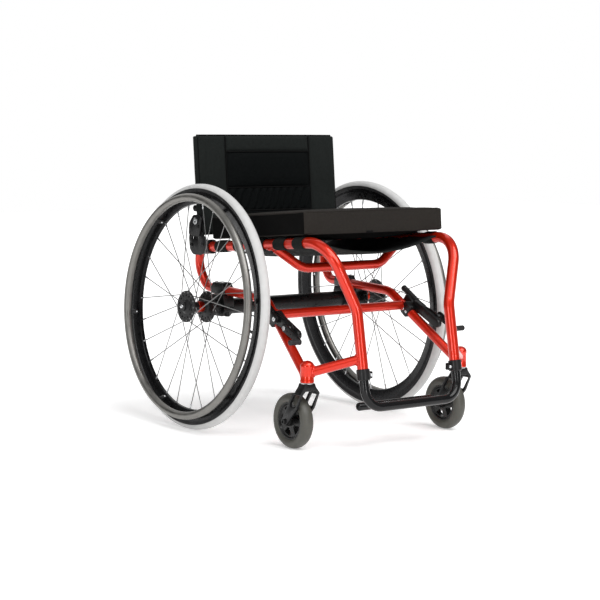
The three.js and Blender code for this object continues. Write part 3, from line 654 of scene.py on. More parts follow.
def axle_plug(name, side):
    """The plug in the axle tube's end: a collar on the tube's line and a nose on the wheel's."""
    end = Matrix.Translation(Vector((side * CAMBER_HALF, 0, CAMBER_Z)) * MM)
    profile = [(0, 0.4), (18, 0.4), (19, 1.2), (19, 5), (18.2, 6), (0, 6)]
    collar = lathe(f"{name}_plug_collar", profile, BLACK, CHAIR @ end @ turn_axis((side, 0, 0)))
    profile = [(0, -56), (17, -56), (18, -52), (15, -45), (15, -43.5), (13.4, -43)]
    profile += [(12.5, -39.6), (11.8, -39), (0, -39)]
    nose = lathe(f"{name}_plug_nose", profile, BLACK, wheel_place(side))
    return merge(f"{name}_axle_plug", collar, nose)


def axle_clamp(name, side):
    """The clamp: a saddle over the side tube, a lower block round the axle tube, and bolts beneath."""
    x = side * 190
    saddle = [(-27, 322), (-27, 338), (-19, 349.5), (19, 349.5), (27, 338), (27, 322)]
    middle = [(-30, 292), (-30, 309), (-26, 320.5), (26, 320.5), (30, 309), (30, 292)]
    lower = [(-30, 289.5), (-30, 281), (-17, 268), (17, 268), (30, 281), (30, 289.5)]
    parts = [
        prism(f"{name}_saddle", saddle, "X", x - 15, 30, BLACK, edge=1.6),
        prism(f"{name}_block", middle, "X", x - 15, 30, BLACK, edge=1.6),
        prism(f"{name}_cap", lower, "X", x - 14, 28, BLACK, edge=1.6),
    ]
    for k, y in enumerate((-23.5, 23.5)):
        parts.append(rod(f"{name}_spacer{k}", (x, y, 300), (x, y, 268), 5.5, BLACK, 24))
        parts.append(rod(f"{name}_stud{k}", (x, y, 345), (x, y, 318), 4, BLACK, 16))
        head = (x + side * 8, y * 0.55, 349)
        parts.append(bolt(f"{name}_clamp_bolt{k}", head, (0, 0, 1), 4, 2.4, STEEL))
    return merge(f"{name}_axle_clamp", *parts)


# ------------------------------------------------------------------ rear wheels
def tyre(name, place):
    center = WHEEL_RADIUS - TYRE_SECTION
    profile = []
    steps = 40
    for k in range(steps + 1):
        angle = math.radians(-118 + 236 * k / steps)
        along = TYRE_SECTION * math.sin(angle)
        groove = 0.55 if abs(abs(along) - 3.4) < 0.75 else 0
        profile.append((center + (TYRE_SECTION - groove) * math.cos(angle), along))
    profile += [(272.6, 7.3), (272.6, -7.3)]
    return lathe(name, profile, TREAD, place, 144, ring=True, sharp=60)


def rim(name, place):
    half = [(RIM_INNER, 3.2), (RIM_INNER + 1.2, 5.2), (255, 7.6), (263, 9.6), (268.5, 10.6), (269.5, 10.2)]
    half += [(276.2, 10.2), (277, 9.4), (276, 7.7), (271.8, 7.7)]
    profile = half + [(r, -x) for r, x in reversed(half)]
    return lathe(name, profile, RIM_BLACK, place, 144, ring=True, sharp=25)


def spoke_line(k, hub_x, rim_x, first):
    pitch = 2 * math.pi / SPOKES
    rim_angle = (first + 2 * k) * pitch
    hub_angle = rim_angle + (-4 if k % 2 else 4) * pitch
    hole = Vector((hub_x, 34.5 * math.cos(hub_angle), 34.5 * math.sin(hub_angle)))
    reach = RIM_INNER - 1.5
    end = Vector((rim_x, reach * math.cos(rim_angle), reach * math.sin(rim_angle)))
    return hole, end


def spokes(name, place, hub_x, rim_x, first, head_x):
    """Fourteen wires of one flange with their elbows, heads and nipples."""
    parts = []
    outward = Vector((head_x - hub_x, 0, 0))
    for k in range(SPOKES // 2):
        hole, end = spoke_line(k, hub_x, rim_x, first)
        along = (end - hole).normalized()
        lift = Vector((0.75 if k % 2 else -0.75, 0, 0))
        corners = [hole + outward, hole + lift, hole.lerp(end, 0.3) + lift * 0.6, end]
        parts.append(sweep(f"{name}_wire{k}", bent(corners, (2.2, 900), 4), 1.1, SPOKE, 8, place))
        parts.append(rod(f"{name}_head{k}", hole + outward, hole + outward * 1.12, 2.1, SPOKE, 12, place))
        parts.append(rod(f"{name}_nipple{k}", end - along * 11, end + along * 3, 1.9, STEEL, 10, place))
    return merge(name, *parts)


def flange_edge(x, half):
    """The rim of a hub flange whose middle is at x."""
    low, high = x - half, x + half
    inner = FLANGE_RADIUS - 1
    return [(inner, low), (FLANGE_RADIUS, low + 0.9), (FLANGE_RADIUS, high - 0.9), (inner, high)]


def hub(name, place):
    """The hub: a holed flange at each end of a waisted body, with the red barrel round its middle."""
    half = 2
    black = [(6.6, -38), (10.7, -38), (11.5, -37), (11.5, INNER_FLANGE - half)]
    black += flange_edge(INNER_FLANGE, half)
    black += [(19, INNER_FLANGE + half + 0.6), (14.5, INNER_FLANGE + half + 4)]
    black += [(12.4, -20), (12, -5), (12.4, 12)]
    black += [(15, OUTER_FLANGE - half - 4), (19, OUTER_FLANGE - half - 0.6)]
    black += flange_edge(OUTER_FLANGE, half)
    black += [(18, OUTER_FLANGE + half), (15, OUTER_FLANGE + half + 2.4)]
    black += [(11.8, 33), (10.8, 34), (6.6, 34)]
    body = lathe(f"{name}_body", black, BLACK, place, 64, ring=True)
    profile = [(12.3, -19), (13.1, -18), (13.1, -4), (12.3, -3)]
    barrel = lathe(f"{name}_barrel", profile, BARREL_RED, place, 48, ring=True)
    through = Vector((4, 0, 0))
    holes = []
    for x in (INNER_FLANGE, OUTER_FLANGE):
        for k in range(SPOKES // 2):
            angle = 2 * math.pi * (k + 0.5) / (SPOKES // 2)
            spot = Vector((x, 27 * math.cos(angle), 27 * math.sin(angle)))
            holes.append(rod(f"{name}_cut{x}{k}", spot - through, spot + through, 2.4, BLACK, 12, place))
    cut_holes(body, [merge(f"{name}_cutters", *holes)])
    return merge(name, body, barrel)


def handrim(name, place):
    """The push ring and the six tabs that hold it off the rim."""
    points = []
    count = 160
    for k in range(count):
        angle = 2 * math.pi * k / count
        y, z = HANDRIM_RADIUS * math.cos(angle), HANDRIM_RADIUS * math.sin(angle)
        points.append(Vector((HANDRIM_OFFSET, y, z)))
    parts = [sweep(f"{name}_ring", points, HANDRIM_TUBE, HANDRIM, 24, place, closed=True)]
    outline = [(10.2, 250), (12, 246.4), (17, 246.8)]
    outline += [(HANDRIM_OFFSET - 1, 252.8), (HANDRIM_OFFSET - 5, 256), (15, 251.5)]
    for k in range(6):
        turn = place @ Matrix.Rotation(math.radians(38 + 60 * k), 4, "X")
        parts.append(prism(f"{name}_tab{k}", outline, "Y", -6, 12, BLACK, turn, 0.8))
        parts.append(bolt(f"{name}_tab_bolt{k}", (13.5, 0, 246.8), (0.08, 0, -1), 2.6, 1.6, STEEL, turn))
    return merge(name, *parts)


def valve(name, place):
    """The inner tube's valve: a rubber sleeve and a cap, out of the rim towards the hub."""
    turn = place @ Matrix.Rotation(math.radians(-9), 4, "X") @ turn_axis((0, -1, 0))
    boot = [(0, -249), (4.2, -249), (3.4, -238), (3.0, -226), (0, -226)]
    cap = [(0, -226), (3.4, -226), (3.4, -217), (2.6, -215.5), (0, -215.5)]
    parts = [lathe(f"{name}_{part}", profile, PLASTIC, turn, 20)
             for part, profile in (("boot", boot), ("cap", cap))]
    return merge(name, *parts)


def rear_wheel(name, side):
    place = wheel_place(side)
    body = f"{name}_rear_wheel"
    place_piece(tyre(f"{name}_tyre", place), body, "grey_tyre", f"{name}_wheel_tyre")
    place_piece(rim(f"{name}_rim", place), body, "black_rim", f"{name}_wheel_rim")
    for row, x, into, rim_x, first in (("outer", OUTER_FLANGE, -1, 2, 0), ("inner", INNER_FLANGE, 1, -2, 1)):
        wires = spokes(f"{name}_{row}_wires", place, x + 4 * into, rim_x, first, x - 2 * into)
        place_piece(wires, body, "bright_steel", f"{name}_wheel_{row}_spokes")
    place_piece(hub(f"{name}_hub", place), body, "black_metal", f"{name}_wheel_hub")
    place_piece(handrim(f"{name}_push_rim", place), body, "handrim_anodising", f"{name}_handrim")
    place_piece(valve(f"{name}_valve", place), body, "black_plastic")
    release_axle(name, place)


def release_axle(name, place):
    """The quick-release axle: a pin with a headed outer end, and the push button in its bore."""
    pin = [(0, -61.5), (5.4, -61.5), (6.35, -60.5), (6.35, 34.4), (5, 34.4), (5, 31.2), (0, 31.2)]
    head = [(6.3, 34.5), (10.4, 34.5), (11, 35.1), (11, 38.2), (10.2, 39), (5.0, 39), (5.0, 34.5)]
    shaft = lathe(f"{name}_pin", pin, STEEL, place, 40)
    axle = merge(f"{name}_axle", shaft, lathe(f"{name}_pin_head", head, BLACK, place, 40, ring=True))
    place_piece(axle, "chassis", "bright_steel", f"{name}_quick_release_axle")
    profile = [(0, 35), (4.8, 35), (4.8, 41.8), (4.4, 42.6), (3.4, 43), (0, 43)]
    button = lathe(f"{name}_button", profile, STEEL, place, 32)
    place_piece(button, f"{name}_button", "bright_steel", f"{name}_axle_button")


# ------------------------------------------------------------------ casters
def caster_fork(name, place):
    inner, leg = 20, 6
    outer = inner + leg
    crown = prism(
        f"{name}_crown",
        [(-13.5, 155.6), (13.5, 155.6), (16, 148), (outer, 135), (outer, 130), (inner, 130),
         (13, 138), (-13, 138), (-inner, 130), (-outer, 130), (-outer, 135), (-16, 148)],
        "Y", -13, 26, BLACK, place, 1.8,
    )
    eye = (CASTER_TRAIL, CASTER_RADIUS)
    turns = [math.radians(40 - 22 * k) for k in range(9)]
    end = [(eye[0] + 10 * math.cos(turn), eye[1] + 10 * math.sin(turn)) for turn in turns]
    outline = rounded([(-15, 133.6), (18.6, 133.6), (36.6, 107)], 3) + end + [(4.4, 97)]
    pane = rounded([(-9, 130), (14, 130), (30, 106), (29, 100), (10, 100)], 3)
    parts = [crown]
    for k, x in enumerate((inner, -outer)):
        leg_part = prism(f"{name}_leg{k}", outline, "X", x, leg, BLACK, place, 0)
        window = prism(f"{name}_window{k}", pane, "X", x - 2, leg + 4, BLACK, place, 0)
        cut_holes(leg_part, [window])
        bevel(leg_part, 1.0)
        parts.append(bake(leg_part))
    up = place @ turn_axis((0, 0, 1))
    race = [(0, 154.6), (14.4, 154.6), (15, 155.4), (15, 156.5), (0, 156.5)]
    parts.append(lathe(f"{name}_race", race, STEEL, up, 40))
    parts.append(rod(f"{name}_stem", (0, 0, 140), (0, 0, HOUSING_TOP - 6), 8, STEEL, 28, place))
    return merge(name, *parts)


def caster_tyre(name, place):
    profile = []
    for k in range(25):
        angle = math.pi * (k / 24 - 0.5)
        flat = 14.5 * math.copysign(abs(math.cos(angle)) ** 0.75, 1)
        profile.append((CASTER_RADIUS - 14.5 + flat, 16 * math.sin(angle)))
    profile += [(43.6, 13.2), (42.6, 12), (42.6, -12), (43.6, -13.2)]
    return lathe(name, profile, CASTER_RUBBER, place, 96, ring=True, sharp=45)


def caster_wheel(name, place):
    """The moulded centre: a rim, a boss and five spokes round openings."""
    disc = lathe(
        f"{name}_disc",
        [(4.2, -19), (10.4, -19), (11, -18), (12, -9), (30, -7.5), (37, -8), (39.5, -11.6), (42.2, -11.6),
         (42.2, 11.6), (39.5, 11.6), (37, 8), (30, 7.5), (12, 9), (11, 18), (10.4, 19), (4.2, 19)],
        CASTER_BLACK, place, 80, ring=True,
    )
    cutters = []
    for k in range(5):
        angle = 2 * math.pi * k / 5
        rows = []
        for reach, half in ((17.5, 13), (34.5, 23)):
            for step in range(-4, 5):
                a = angle + math.radians(half * step / 4)
                rows.append((reach * math.cos(a), reach * math.sin(a)))
        outline = rows[:9] + rows[:8:-1]
        cutters.append(prism(f"{name}_window{k}", outline, "X", -30, 60, CASTER_BLACK, place, 0))
    return bevel(cut_holes(disc, [merge(f"{name}_windows", *cutters)]), 0.5, 1)


def caster(name, side):
    swivel = CHAIR @ Matrix.Translation(side_point(side, CASTER) * MM)
    wheel = swivel @ Matrix.Translation(Vector((0, CASTER_TRAIL, CASTER_RADIUS)) * MM)
    turning, rolling = f"{name}_caster_swivel", f"{name}_caster_roller"
    place_piece(caster_fork(f"{name}_fork", swivel), turning, "black_metal", f"{name}_caster_fork")
    place_piece(caster_tyre(f"{name}_small_tyre", wheel), rolling, "caster_tyre", f"{name}_caster_tyre")
    place_piece(caster_wheel(f"{name}_small_wheel", wheel), rolling, "black_plastic", f"{name}_caster_wheel")
    axle = rod(f"{name}_small_axle_pin", (-27, 0, 0), (27, 0, 0), 4, STEEL, 24, wheel)
    ends = [bolt(f"{name}_axle_end{k}", (k * 26.2, 0, 0), (k, 0, 0), 6.5, 3.8, BLACK, wheel) for k in (-1, 1)]
    axle = merge(f"{name}_small_axle", axle, *ends)
    place_piece(axle, turning, "bright_steel", f"{name}_caster_axle")


# ------------------------------------------------------------------ footrest
def footrest():
    corners = [foot_point(-1, 262), side_point(-1, FOOT_BAR), FOOT_BAR, foot_point(1, 262)]
    bar = sweep("foot_bar", bent(corners, (42, 42), 16), FOOT_TUBE, GLOSS, 32)
    place_piece(bar, "footrest", "black_metal", "footrest_tube")
    place_piece(heel_rest(), "footrest", "black_metal", "heel_bar")
    for name, side in SIDES.items():
        place_piece(foot_clamp(name, side), "chassis", "black_metal", f"{name}_footrest_clamp")


def heel_rest():
    """The bar behind the footrest's front one, with the two flat arms that carry it."""
    y, z = -430, 95
    bar = rod("heel_rest_bar", (-106, y, z), (106, y, z), HEEL_TUBE, GLOSS, 28, cap=6)
    front = FOOT_BAR.y + 9
    outline = [(y, z + 3), (front, FOOT_BAR.z + 2), (front, FOOT_BAR.z - 4), (y, z - 3)]
    arms = [prism(f"heel_arm{side}", outline, "X", side * 60 - 10, 20, BLACK) for side in (-1, 1)]
    return merge("heel_rest", bar, *arms)


def foot_clamp(name, side):
    """The split sleeve that grips the footrest's tube, with its two ears and their screw."""
    low, high = foot_point(side, 164.5), foot_point(side, 190)
    length = (high - low).length
    place = CHAIR @ Matrix.Translation(low * MM) @ turn_axis((high - low).normalized())
    profile = [(0, 0.4), (13.5, 0.4), (15.3, 2)]
    profile += [(15.3, length - 1.6), (14.2, length - 0.4), (0, length - 0.4)]
    sleeve_part = lathe(f"{name}_sleeve", profile, BLACK, place, 48)
    x, y = side * (FOOT_BAR.x - 18), foot_point(side, 177).y + 2
    outline = [(x - 5.5, 168), (x + 6, 168), (x + 6, 184), (x - 5.5, 184)]
    ears = [prism(f"{name}_ear{k}", outline, "Y", y + shift, 5, BLACK, edge=1.4)
            for k, shift in ((0, -6), (1, 1))]
    screw = bolt(f"{name}_ear_bolt", (x - side, y - 6, 176), (0, -1, 0), 3.6, 2.6, STEEL)
    return merge(f"{name}_foot_clamp", sleeve_part, *ears, screw)


# ------------------------------------------------------------------ soft goods
def seat_place(y, z):
    """The seat's frame: +Y runs rearward down the slope from the point given."""
    return CHAIR @ Matrix.Translation((0, y * MM, z * MM)) @ Matrix.Rotation(-SEAT_SLOPE, 4, "X")


CLOTH_FRAMES = 20


def stations(low, high, cell, edge):
    """Grid lines across one side of a padded block, closer where its edge is rounded."""
    count = max(2, round((high - low - 2 * edge) / cell))
    inner = [low + edge + (high - low - 2 * edge) * k / count for k in range(count + 1)]
    return [low, low + edge * 0.3, low + edge * 0.65, *inner, high - edge * 0.65, high - edge * 0.3, high]


def padded_block(name, low, high, material, place, cell=7.0, edge=5.0):
    """A closed block on a fine grid whose edges are rounded."""
    low, high = Vector(low), Vector(high)
    lines = [stations(low[i], high[i], cell, edge) for i in range(3)]
    verts, faces = [], []
    for axis in range(3):
        a, b = (axis + 1) % 3, (axis + 2) % 3
        for level in (low[axis], high[axis]):
            start = len(verts)
            for u in lines[a]:
                for v in lines[b]:
                    point = Vector((0, 0, 0))
                    point[axis], point[a], point[b] = level, u, v
                    core = Vector([min(max(point[i], low[i] + edge), high[i] - edge) for i in range(3)])
                    reach = point - core
                    if reach.length > 1e-6:
                        point = core + reach.normalized() * min(reach.length, edge)
                    verts.append(point)
            wide = len(lines[b])
            for i in range(len(lines[a]) - 1):
                for j in range(wide - 1):
                    k = start + i * wide + j
                    faces.append((k, k + wide, k + wide + 1, k + 1))
    return add(name, verts, faces, material, place, 80)


def swell(obj, pressure):
    """Where the mesh's points end up when its cloth is blown up, held where its group says."""
    cloth = obj.modifiers.new("cloth", "CLOTH")
    settings = cloth.settings
    settings.quality = 6
    settings.mass = 0.15
    settings.tension_stiffness = 18
    settings.compression_stiffness = 18
    settings.shear_stiffness = 8
    settings.bending_stiffness = 0.6
    settings.use_pressure = True
    settings.uniform_pressure_force = pressure
    settings.vertex_group_mass = "held"
    settings.effector_weights.gravity = 0
    cloth.collision_settings.use_collision = False
    cloth.point_cache.frame_start = 1
    cloth.point_cache.frame_end = CLOTH_FRAMES
    scene = bpy.context.scene
    for number in range(1, CLOTH_FRAMES + 1):
        scene.frame_set(number)
    evaluated = obj.evaluated_get(bpy.context.evaluated_depsgraph_get())
    swollen = [v.co.copy() for v in evaluated.to_mesh().vertices]
    evaluated.to_mesh_clear()
    obj.modifiers.remove(cloth)
    scene.frame_set(1)
    return swollen


def inflate(obj, held, cap, pressure):
    """Swell a closed mesh by cloth simulation. held(point) in millimetres is how firmly a point stays put;
    no point moves further than cap."""
    rest = [v.co.copy() for v in obj.data.vertices]
    group = obj.vertex_groups.new(name="held")
    for i, co in enumerate(rest):
        weight = held(co / MM)
        if weight > 0:
            group.add([i], weight, "REPLACE")
    swollen = swell(obj, pressure)
    for vertex, start, end in zip(obj.data.vertices, rest, swollen):
        move = end - start
        if move.length > cap * MM:
            move = move.normalized() * cap * MM
        vertex.co = start + move
    obj.vertex_groups.clear()


def relax(obj, rounds, keep):
    """Even out the swollen surface. keep(point) is true where it stays."""
    bm = bmesh.new()
    bm.from_mesh(obj.data)
    free = [v for v in bm.verts if not keep(v.co / MM)]
    for _ in range(rounds):
        bmesh.ops.smooth_vert(bm, verts=free, factor=0.5, use_axis_x=True, use_axis_y=True,
                              use_axis_z=True)
    bm.to_mesh(obj.data)
    bm.free()


def subdivide_once(obj):
    made = obj.modifiers.new("fine", "SUBSURF")
    made.levels = made.render_levels = 1
    return bake(obj)


def displace(obj, move):
    """Shift each vertex by move(point), all in millimetres of the piece's own frame."""
    for vertex in obj.data.vertices:
        vertex.co += Vector(move(vertex.co / MM)) * MM
    obj.data.update()
    smooth(obj, 80)


def cord_loop(name, points, radius, place, closed=True, material=None):
    return sweep(name, [Vector(p) for p in points], radius, material or BINDING, 10, place, closed=closed)


CUSHION_WIDTH = 413
CUSHION_LENGTH = 373
CUSHION_HEIGHT = 56
CUSHION_HALF = CUSHION_WIDTH / 2
BELLY_HALF = 163
BELLY_INSET = 17
BELLY_SAG = 13.5


def cushion_edge(p):
    """Distance in millimetres from a point of the cushion to its nearest edge."""
    gaps = (CUSHION_HALF - abs(p.x), min(p.y, CUSHION_LENGTH - p.y), min(p.z, CUSHION_HEIGHT - p.z))
    return sorted(gaps)[1]


def cushion_held(p):
    if p.z < 1.5:
        return 1.0
    return max(0.0, min(1.0, 1.25 - cushion_edge(p) / 9))


def cushion_shape(p):
    """The crown of the top, the belly between the rails and the small waves of the cover."""
    calm = min(1.0, cushion_edge(p) / 40)
    wave = noise.noise(Vector((p.x / 46, p.y / 46, p.z / 30))) * 0.9
    fold = noise.noise(Vector((p.x / 15, p.y / 60, p.z / 18 + 4))) * 0.28
    push = (wave + fold) * (0.25 + 0.75 * calm)
    if p.z > CUSHION_HEIGHT - 8:
        return (0, 0, push * 1.1 + 1.5 * calm)
    if p.z < 3:
        share = min(1.0, abs(p.x) / BELLY_HALF)
        inset = min(p.y - BELLY_INSET, CUSHION_LENGTH - BELLY_INSET - p.y)
        ends = max(0.0, min(1.0, inset / 12))
        return (0, 0, -BELLY_SAG * (1 - share * share) * ends)
    rim_share = math.sin(math.pi * min(max(p.z / CUSHION_HEIGHT, 0), 1))
    if p.y < 8 or p.y > CUSHION_LENGTH - 8:
        return (0, push * rim_share, 0)
    return (push * rim_share * math.copysign(1, p.x), 0, 0)


def piping_loop(z):
    """The line of the cushion's piping at one height, its corners drawn in a little."""
    edge, steps = 2.2, 24
    x_end, y_end = CUSHION_HALF - edge, CUSHION_LENGTH - edge
    corners = [(-x_end, edge), (x_end, edge), (x_end, y_end), (-x_end, y_end)]
    middle = CUSHION_LENGTH / 2
    loop = []
    for i, (x, y) in enumerate(corners):
        nx, ny = corners[(i + 1) % 4]
        for step in range(steps):
            t = (step + 0.5) / steps
            ease = 1 - 0.012 * max(0, abs(2 * t - 1) - 0.9) / 0.1
            px, py = x + (nx - x) * t, y + (ny - y) * t
            loop.append((px * ease, (py - middle) * ease + middle, z))
    return loop


def cushion_piping(place):
    seams = []
    for k, z in enumerate((CUSHION_HEIGHT - 4.2, 2.2)):
        seams.append(cord_loop(f"cushion_piping{k}", piping_loop(z), 1.9, place, material=COVER))
    for k, (x, y) in enumerate([(-1, 0), (1, 0), (1, 1), (-1, 1)]):
        px, py = x * (CUSHION_HALF - 2.6), 2.6 if y == 0 else CUSHION_LENGTH - 2.6
        run = [(px, py, 3), (px, py, CUSHION_HEIGHT - 5)]
        seams.append(cord_loop(f"cushion_corner{k}", run, 1.5, place, False, COVER))
    # the rolled tab at the middle of the front's lower edge
    tab = [(-27, 1.2, 2.6), (-18, 0.4, 2.2), (-9, 1.2, 2.6)]
    seams.append(cord_loop("cushion_tab", tab, 2.8, place, False, BINDING))
    place_piece(merge("cushion_piping", *seams), "chassis", "cushion_cover")


def cushion():
    """The foam cushion: crowned on top, a belly between the rails, its sides drawn in between the piping,
    with painted shade in a darker cloth on its sides, rear and underside.
    """
    place = seat_place(-353, 484)
    low, high = (-CUSHION_HALF, 0, 0.5), (CUSHION_HALF, CUSHION_LENGTH, CUSHION_HEIGHT - 3)
    body = padded_block("cushion_cover_body", low, high, COVER, place, 8, 6)
    inflate(body, cushion_held, 5.0, 1.6)
    relax(body, 4, lambda p: p.z < 1.5 or cushion_edge(p) < 5)
    subdivide_once(body)
    displace(body, cushion_shape)
    # painted shade: the faces turned sideways, rearward or downward take the darker cloth
    body.data.materials.append(COVER_PAINTED_SHADE)
    for face in body.data.polygons:
        if abs(face.normal.x) > 0.7 or face.normal.y > 0.7 or face.normal.z < -0.5:
            face.material_index = 1
    place_piece(body, "chassis", "cushion_cover", "seat_cushion")
    cushion_piping(place)


def sling():
    """The seat sling: one sheet hung between the rails, with sleeves of it sewn round each rail."""
    place = seat_place(40, rail_z(40))
    length, half = 400, RAIL_X - 4
    verts, faces = [], []
    across, along = 64, 80
    for i in range(along + 1):
        y = -length * i / along
        for j in range(across + 1):
            share = 2 * j / across - 1
            sag = SLING_SAG * (1 - share * share)
            ends = min(1.0, min(-y, length + y) / 30)
            pull = 2.2 * math.sin(y / 82 * 2 * math.pi) * (share**4)
            ripple = 1.4 * noise.noise(Vector((share * 3, y / 34, 0))) * (1 - share**6)
            verts.append((half * share, y, 6 - sag * (0.93 + 0.07 * ends) + pull * 0.4 + ripple))
    for i in range(along):
        for j in range(across):
            k = i * (across + 1) + j
            faces.append((k, k + 1, k + across + 2, k + across + 1))
    cloth = add("sling_cloth", verts, faces, CLOTH, place, 80)
    solid = cloth.modifiers.new("thick", "SOLIDIFY")
    solid.thickness = 2.4 * MM
    solid.offset = 0
    bake(cloth)
    smooth(cloth, 60)
    place_piece(cloth, "chassis", "upholstery", "seat_sling")
    sleeves = []
    for side in (-1, 1):
        for k, (front, rear) in enumerate(SLEEVES):
            sleeves.append(sleeve(f"sleeve{side}{k}", side, front, rear))
    wraps = merge("sling_sleeves", *sleeves)
    place_piece(wraps, "chassis", "upholstery")


SLEEVES = ((-343, -305), (-274, -231), (-192, -149), (-110, -70), (-40, 8))


def sleeve(name, side, front, rear):
    """One loop of the sling round a rail, flattened underneath where it meets the sheet."""
    steps, sides = 14, 32
    verts, faces = [], []
    for i in range(steps + 1):
        t = i / steps
        y = front + (rear - front) * t
        pinch = 1.0 - 0.10 * (abs(2 * t - 1) ** 6)
        for k in range(sides):
            angle = 2 * math.pi * k / sides
            crease = 0.5 * noise.noise(Vector((y / 7, math.cos(angle) * 2, math.sin(angle) * 2 + side)))
            r = (RAIL_TUBE + 2.3 + crease) * pinch
            x, z = r * math.cos(angle), r * math.sin(angle)
            lean = max(0.0, -x * side - 4)
            verts.append((side * RAIL_X + x, y, rail_z(y) + z - lean * 0.35))
    for i in range(steps):
        for k in range(sides):
            m = (k + 1) % sides
            faces.append((i * sides + k, i * sides + m, (i + 1) * sides + m, (i + 1) * sides + k))
    obj = add(name, verts, faces, CLOTH, CHAIR, 60)
    solid = obj.modifiers.new("thick", "SOLIDIFY")
    solid.thickness = 1.4 * MM
    solid.offset = -1
    return bake(obj)


# ------------------------------------------------------------------ back
def back_place():
    return CHAIR @ Matrix.Translation(BACK_PIVOT * MM) @ Matrix.Rotation(-BACK_LEAN, 4, "X")


SEAM_X = 128
PANEL_TOP, PANEL_LOW, PLEAT_LOW = 168, 79, 22
BACK_TOP, BACK_BOTTOM = 208, -35
BACK_HALF = 200
BACK_THICK = 6
SLEEVE_RADIUS = 12.6


def back_line(x):
    """How far forward of the posts' plane the cloth's middle surface lies at x."""
    share = min(abs(x) / BACK_HALF, 1)
    return -5 + 3 * share**6


def seam_gap(x, z):
    """Distance in millimetres to the nearest seam or edge of the front."""
    gaps = [abs(abs(x) - SEAM_X), BACK_TOP - z, z - BACK_BOTTOM]
    if abs(x) < SEAM_X:
        gaps += [abs(z - PANEL_TOP), abs(z - PANEL_LOW), abs(z - PLEAT_LOW)]
    return min(gaps)


def back_outline(cell):
    """The outline of the back seen from above: a flat front and rear run, and a round sleeve at each end."""
    flat_half, caps = BACK_HALF - 12, 13
    count = round(2 * flat_half / cell)
    flat = [-flat_half + 2 * flat_half * k / count for k in range(count + 1)]
    front = [(x, back_line(x) - BACK_THICK) for x in flat]
    rear = [(x, back_line(x) + BACK_THICK) for x in reversed(flat)]
    left_cap = []
    for k in range(1, caps):
        angle = math.pi * 0.5 - math.pi * k / caps
        left_cap.append((BACK_HALF + SLEEVE_RADIUS * math.cos(angle), -SLEEVE_RADIUS * math.sin(angle)))
    right_cap = [(-x, -y) for x, y in left_cap]
    return front, left_cap, rear, right_cap


def back_mesh(place, cell=5.0):
    """The closed form of the back before it is padded."""
    front, left_cap, rear, right_cap = back_outline(cell)
    outline = front + left_cap + rear + right_cap
    wide, cap, count = len(front), len(left_cap), len(outline)
    height = BACK_TOP - BACK_BOTTOM
    rows = round(height / cell)
    verts = [(x, y, BACK_BOTTOM + height * k / rows) for k in range(rows + 1) for x, y in outline]
    faces = []
    for i in range(rows):
        for k in range(count):
            m = (k + 1) % count
            faces.append((i * count + k, i * count + m, (i + 1) * count + m, (i + 1) * count + k))
    # close the top and the foot between the front and rear runs
    for level, flip in ((0, False), (rows, True)):
        base = level * count
        pairs = [(k, wide + cap + (wide - 1 - k)) for k in range(wide)]
        for (a, b), (c, d) in zip(pairs, pairs[1:]):
            quad = (base + a, base + c, base + d, base + b)
            faces.append(quad[::-1] if flip else quad)
        faces.append([base + wide - 1 + k for k in range(cap + 2)])
        faces.append([base + (2 * wide + cap - 1 + k) % count for k in range(cap + 2)])
    return add("back_cloth", verts, faces, CLOTH, place, 80)


def back_held(p):
    if abs(p.x) > BACK_HALF - 13 or p.z > BACK_TOP - 3 or p.z < BACK_BOTTOM + 3:
        return 1.0
    if p.y > back_line(p.x):
        return 0.6
    return max(0.0, min(1.0, 1.3 - seam_gap(p.x, p.z) / 5))


def panel_puff(x, z, calm):
    """How far one point of the front's padding stands out: side panel, band, panel, pleats or foot."""
    if abs(x) >= SEAM_X:
        return 1.8 * calm + 0.9 * noise.noise(Vector((x / 18, z / 60, 9))) * calm
    if PANEL_LOW < z < PANEL_TOP:
        u, v = x / SEAM_X, (z - PANEL_LOW) / (PANEL_TOP - PANEL_LOW) * 2 - 1
        return 6.5 * (1 - u**6) * (1 - v**4) + 0.9 * noise.noise(Vector((x / 26, z / 44, 3))) * calm
    if PLEAT_LOW < z <= PANEL_LOW:
        fade = 1 - 0.45 * (PANEL_LOW - z) / (PANEL_LOW - PLEAT_LOW)
        lean = x + (PANEL_LOW - z) * 0.35
        ridge = math.sin(lean / 23 * 2 * math.pi + 1.1 * math.sin(x / 31))
        return 2.6 + 4.4 * ridge * calm * fade
    if z <= PLEAT_LOW:
        return 2.2 + 0.9 * math.sin(z / 17 * 2 * math.pi) * calm
    return 2.6 * calm


def back_shape(p):
    """The padding of the front, drawn in along the seams; the rear is only a little uneven."""
    if p.y > back_line(p.x) - 1 or abs(p.x) > BACK_HALF - 4:
        tuck = 0.8 * noise.noise(Vector((p.x / 20, p.y / 20, p.z / 26)))
        return (0, tuck * 0.5, 0)
    gap = seam_gap(p.x, p.z)
    calm = min(1.0, gap / 9)
    dent = -2.4 * max(0.0, 1 - gap / 4)
    fine = 0.35 * noise.noise(Vector((p.x / 9, p.z / 13, 1))) * calm
    return (0, -(panel_puff(p.x, p.z, calm) + dent + fine), 0)


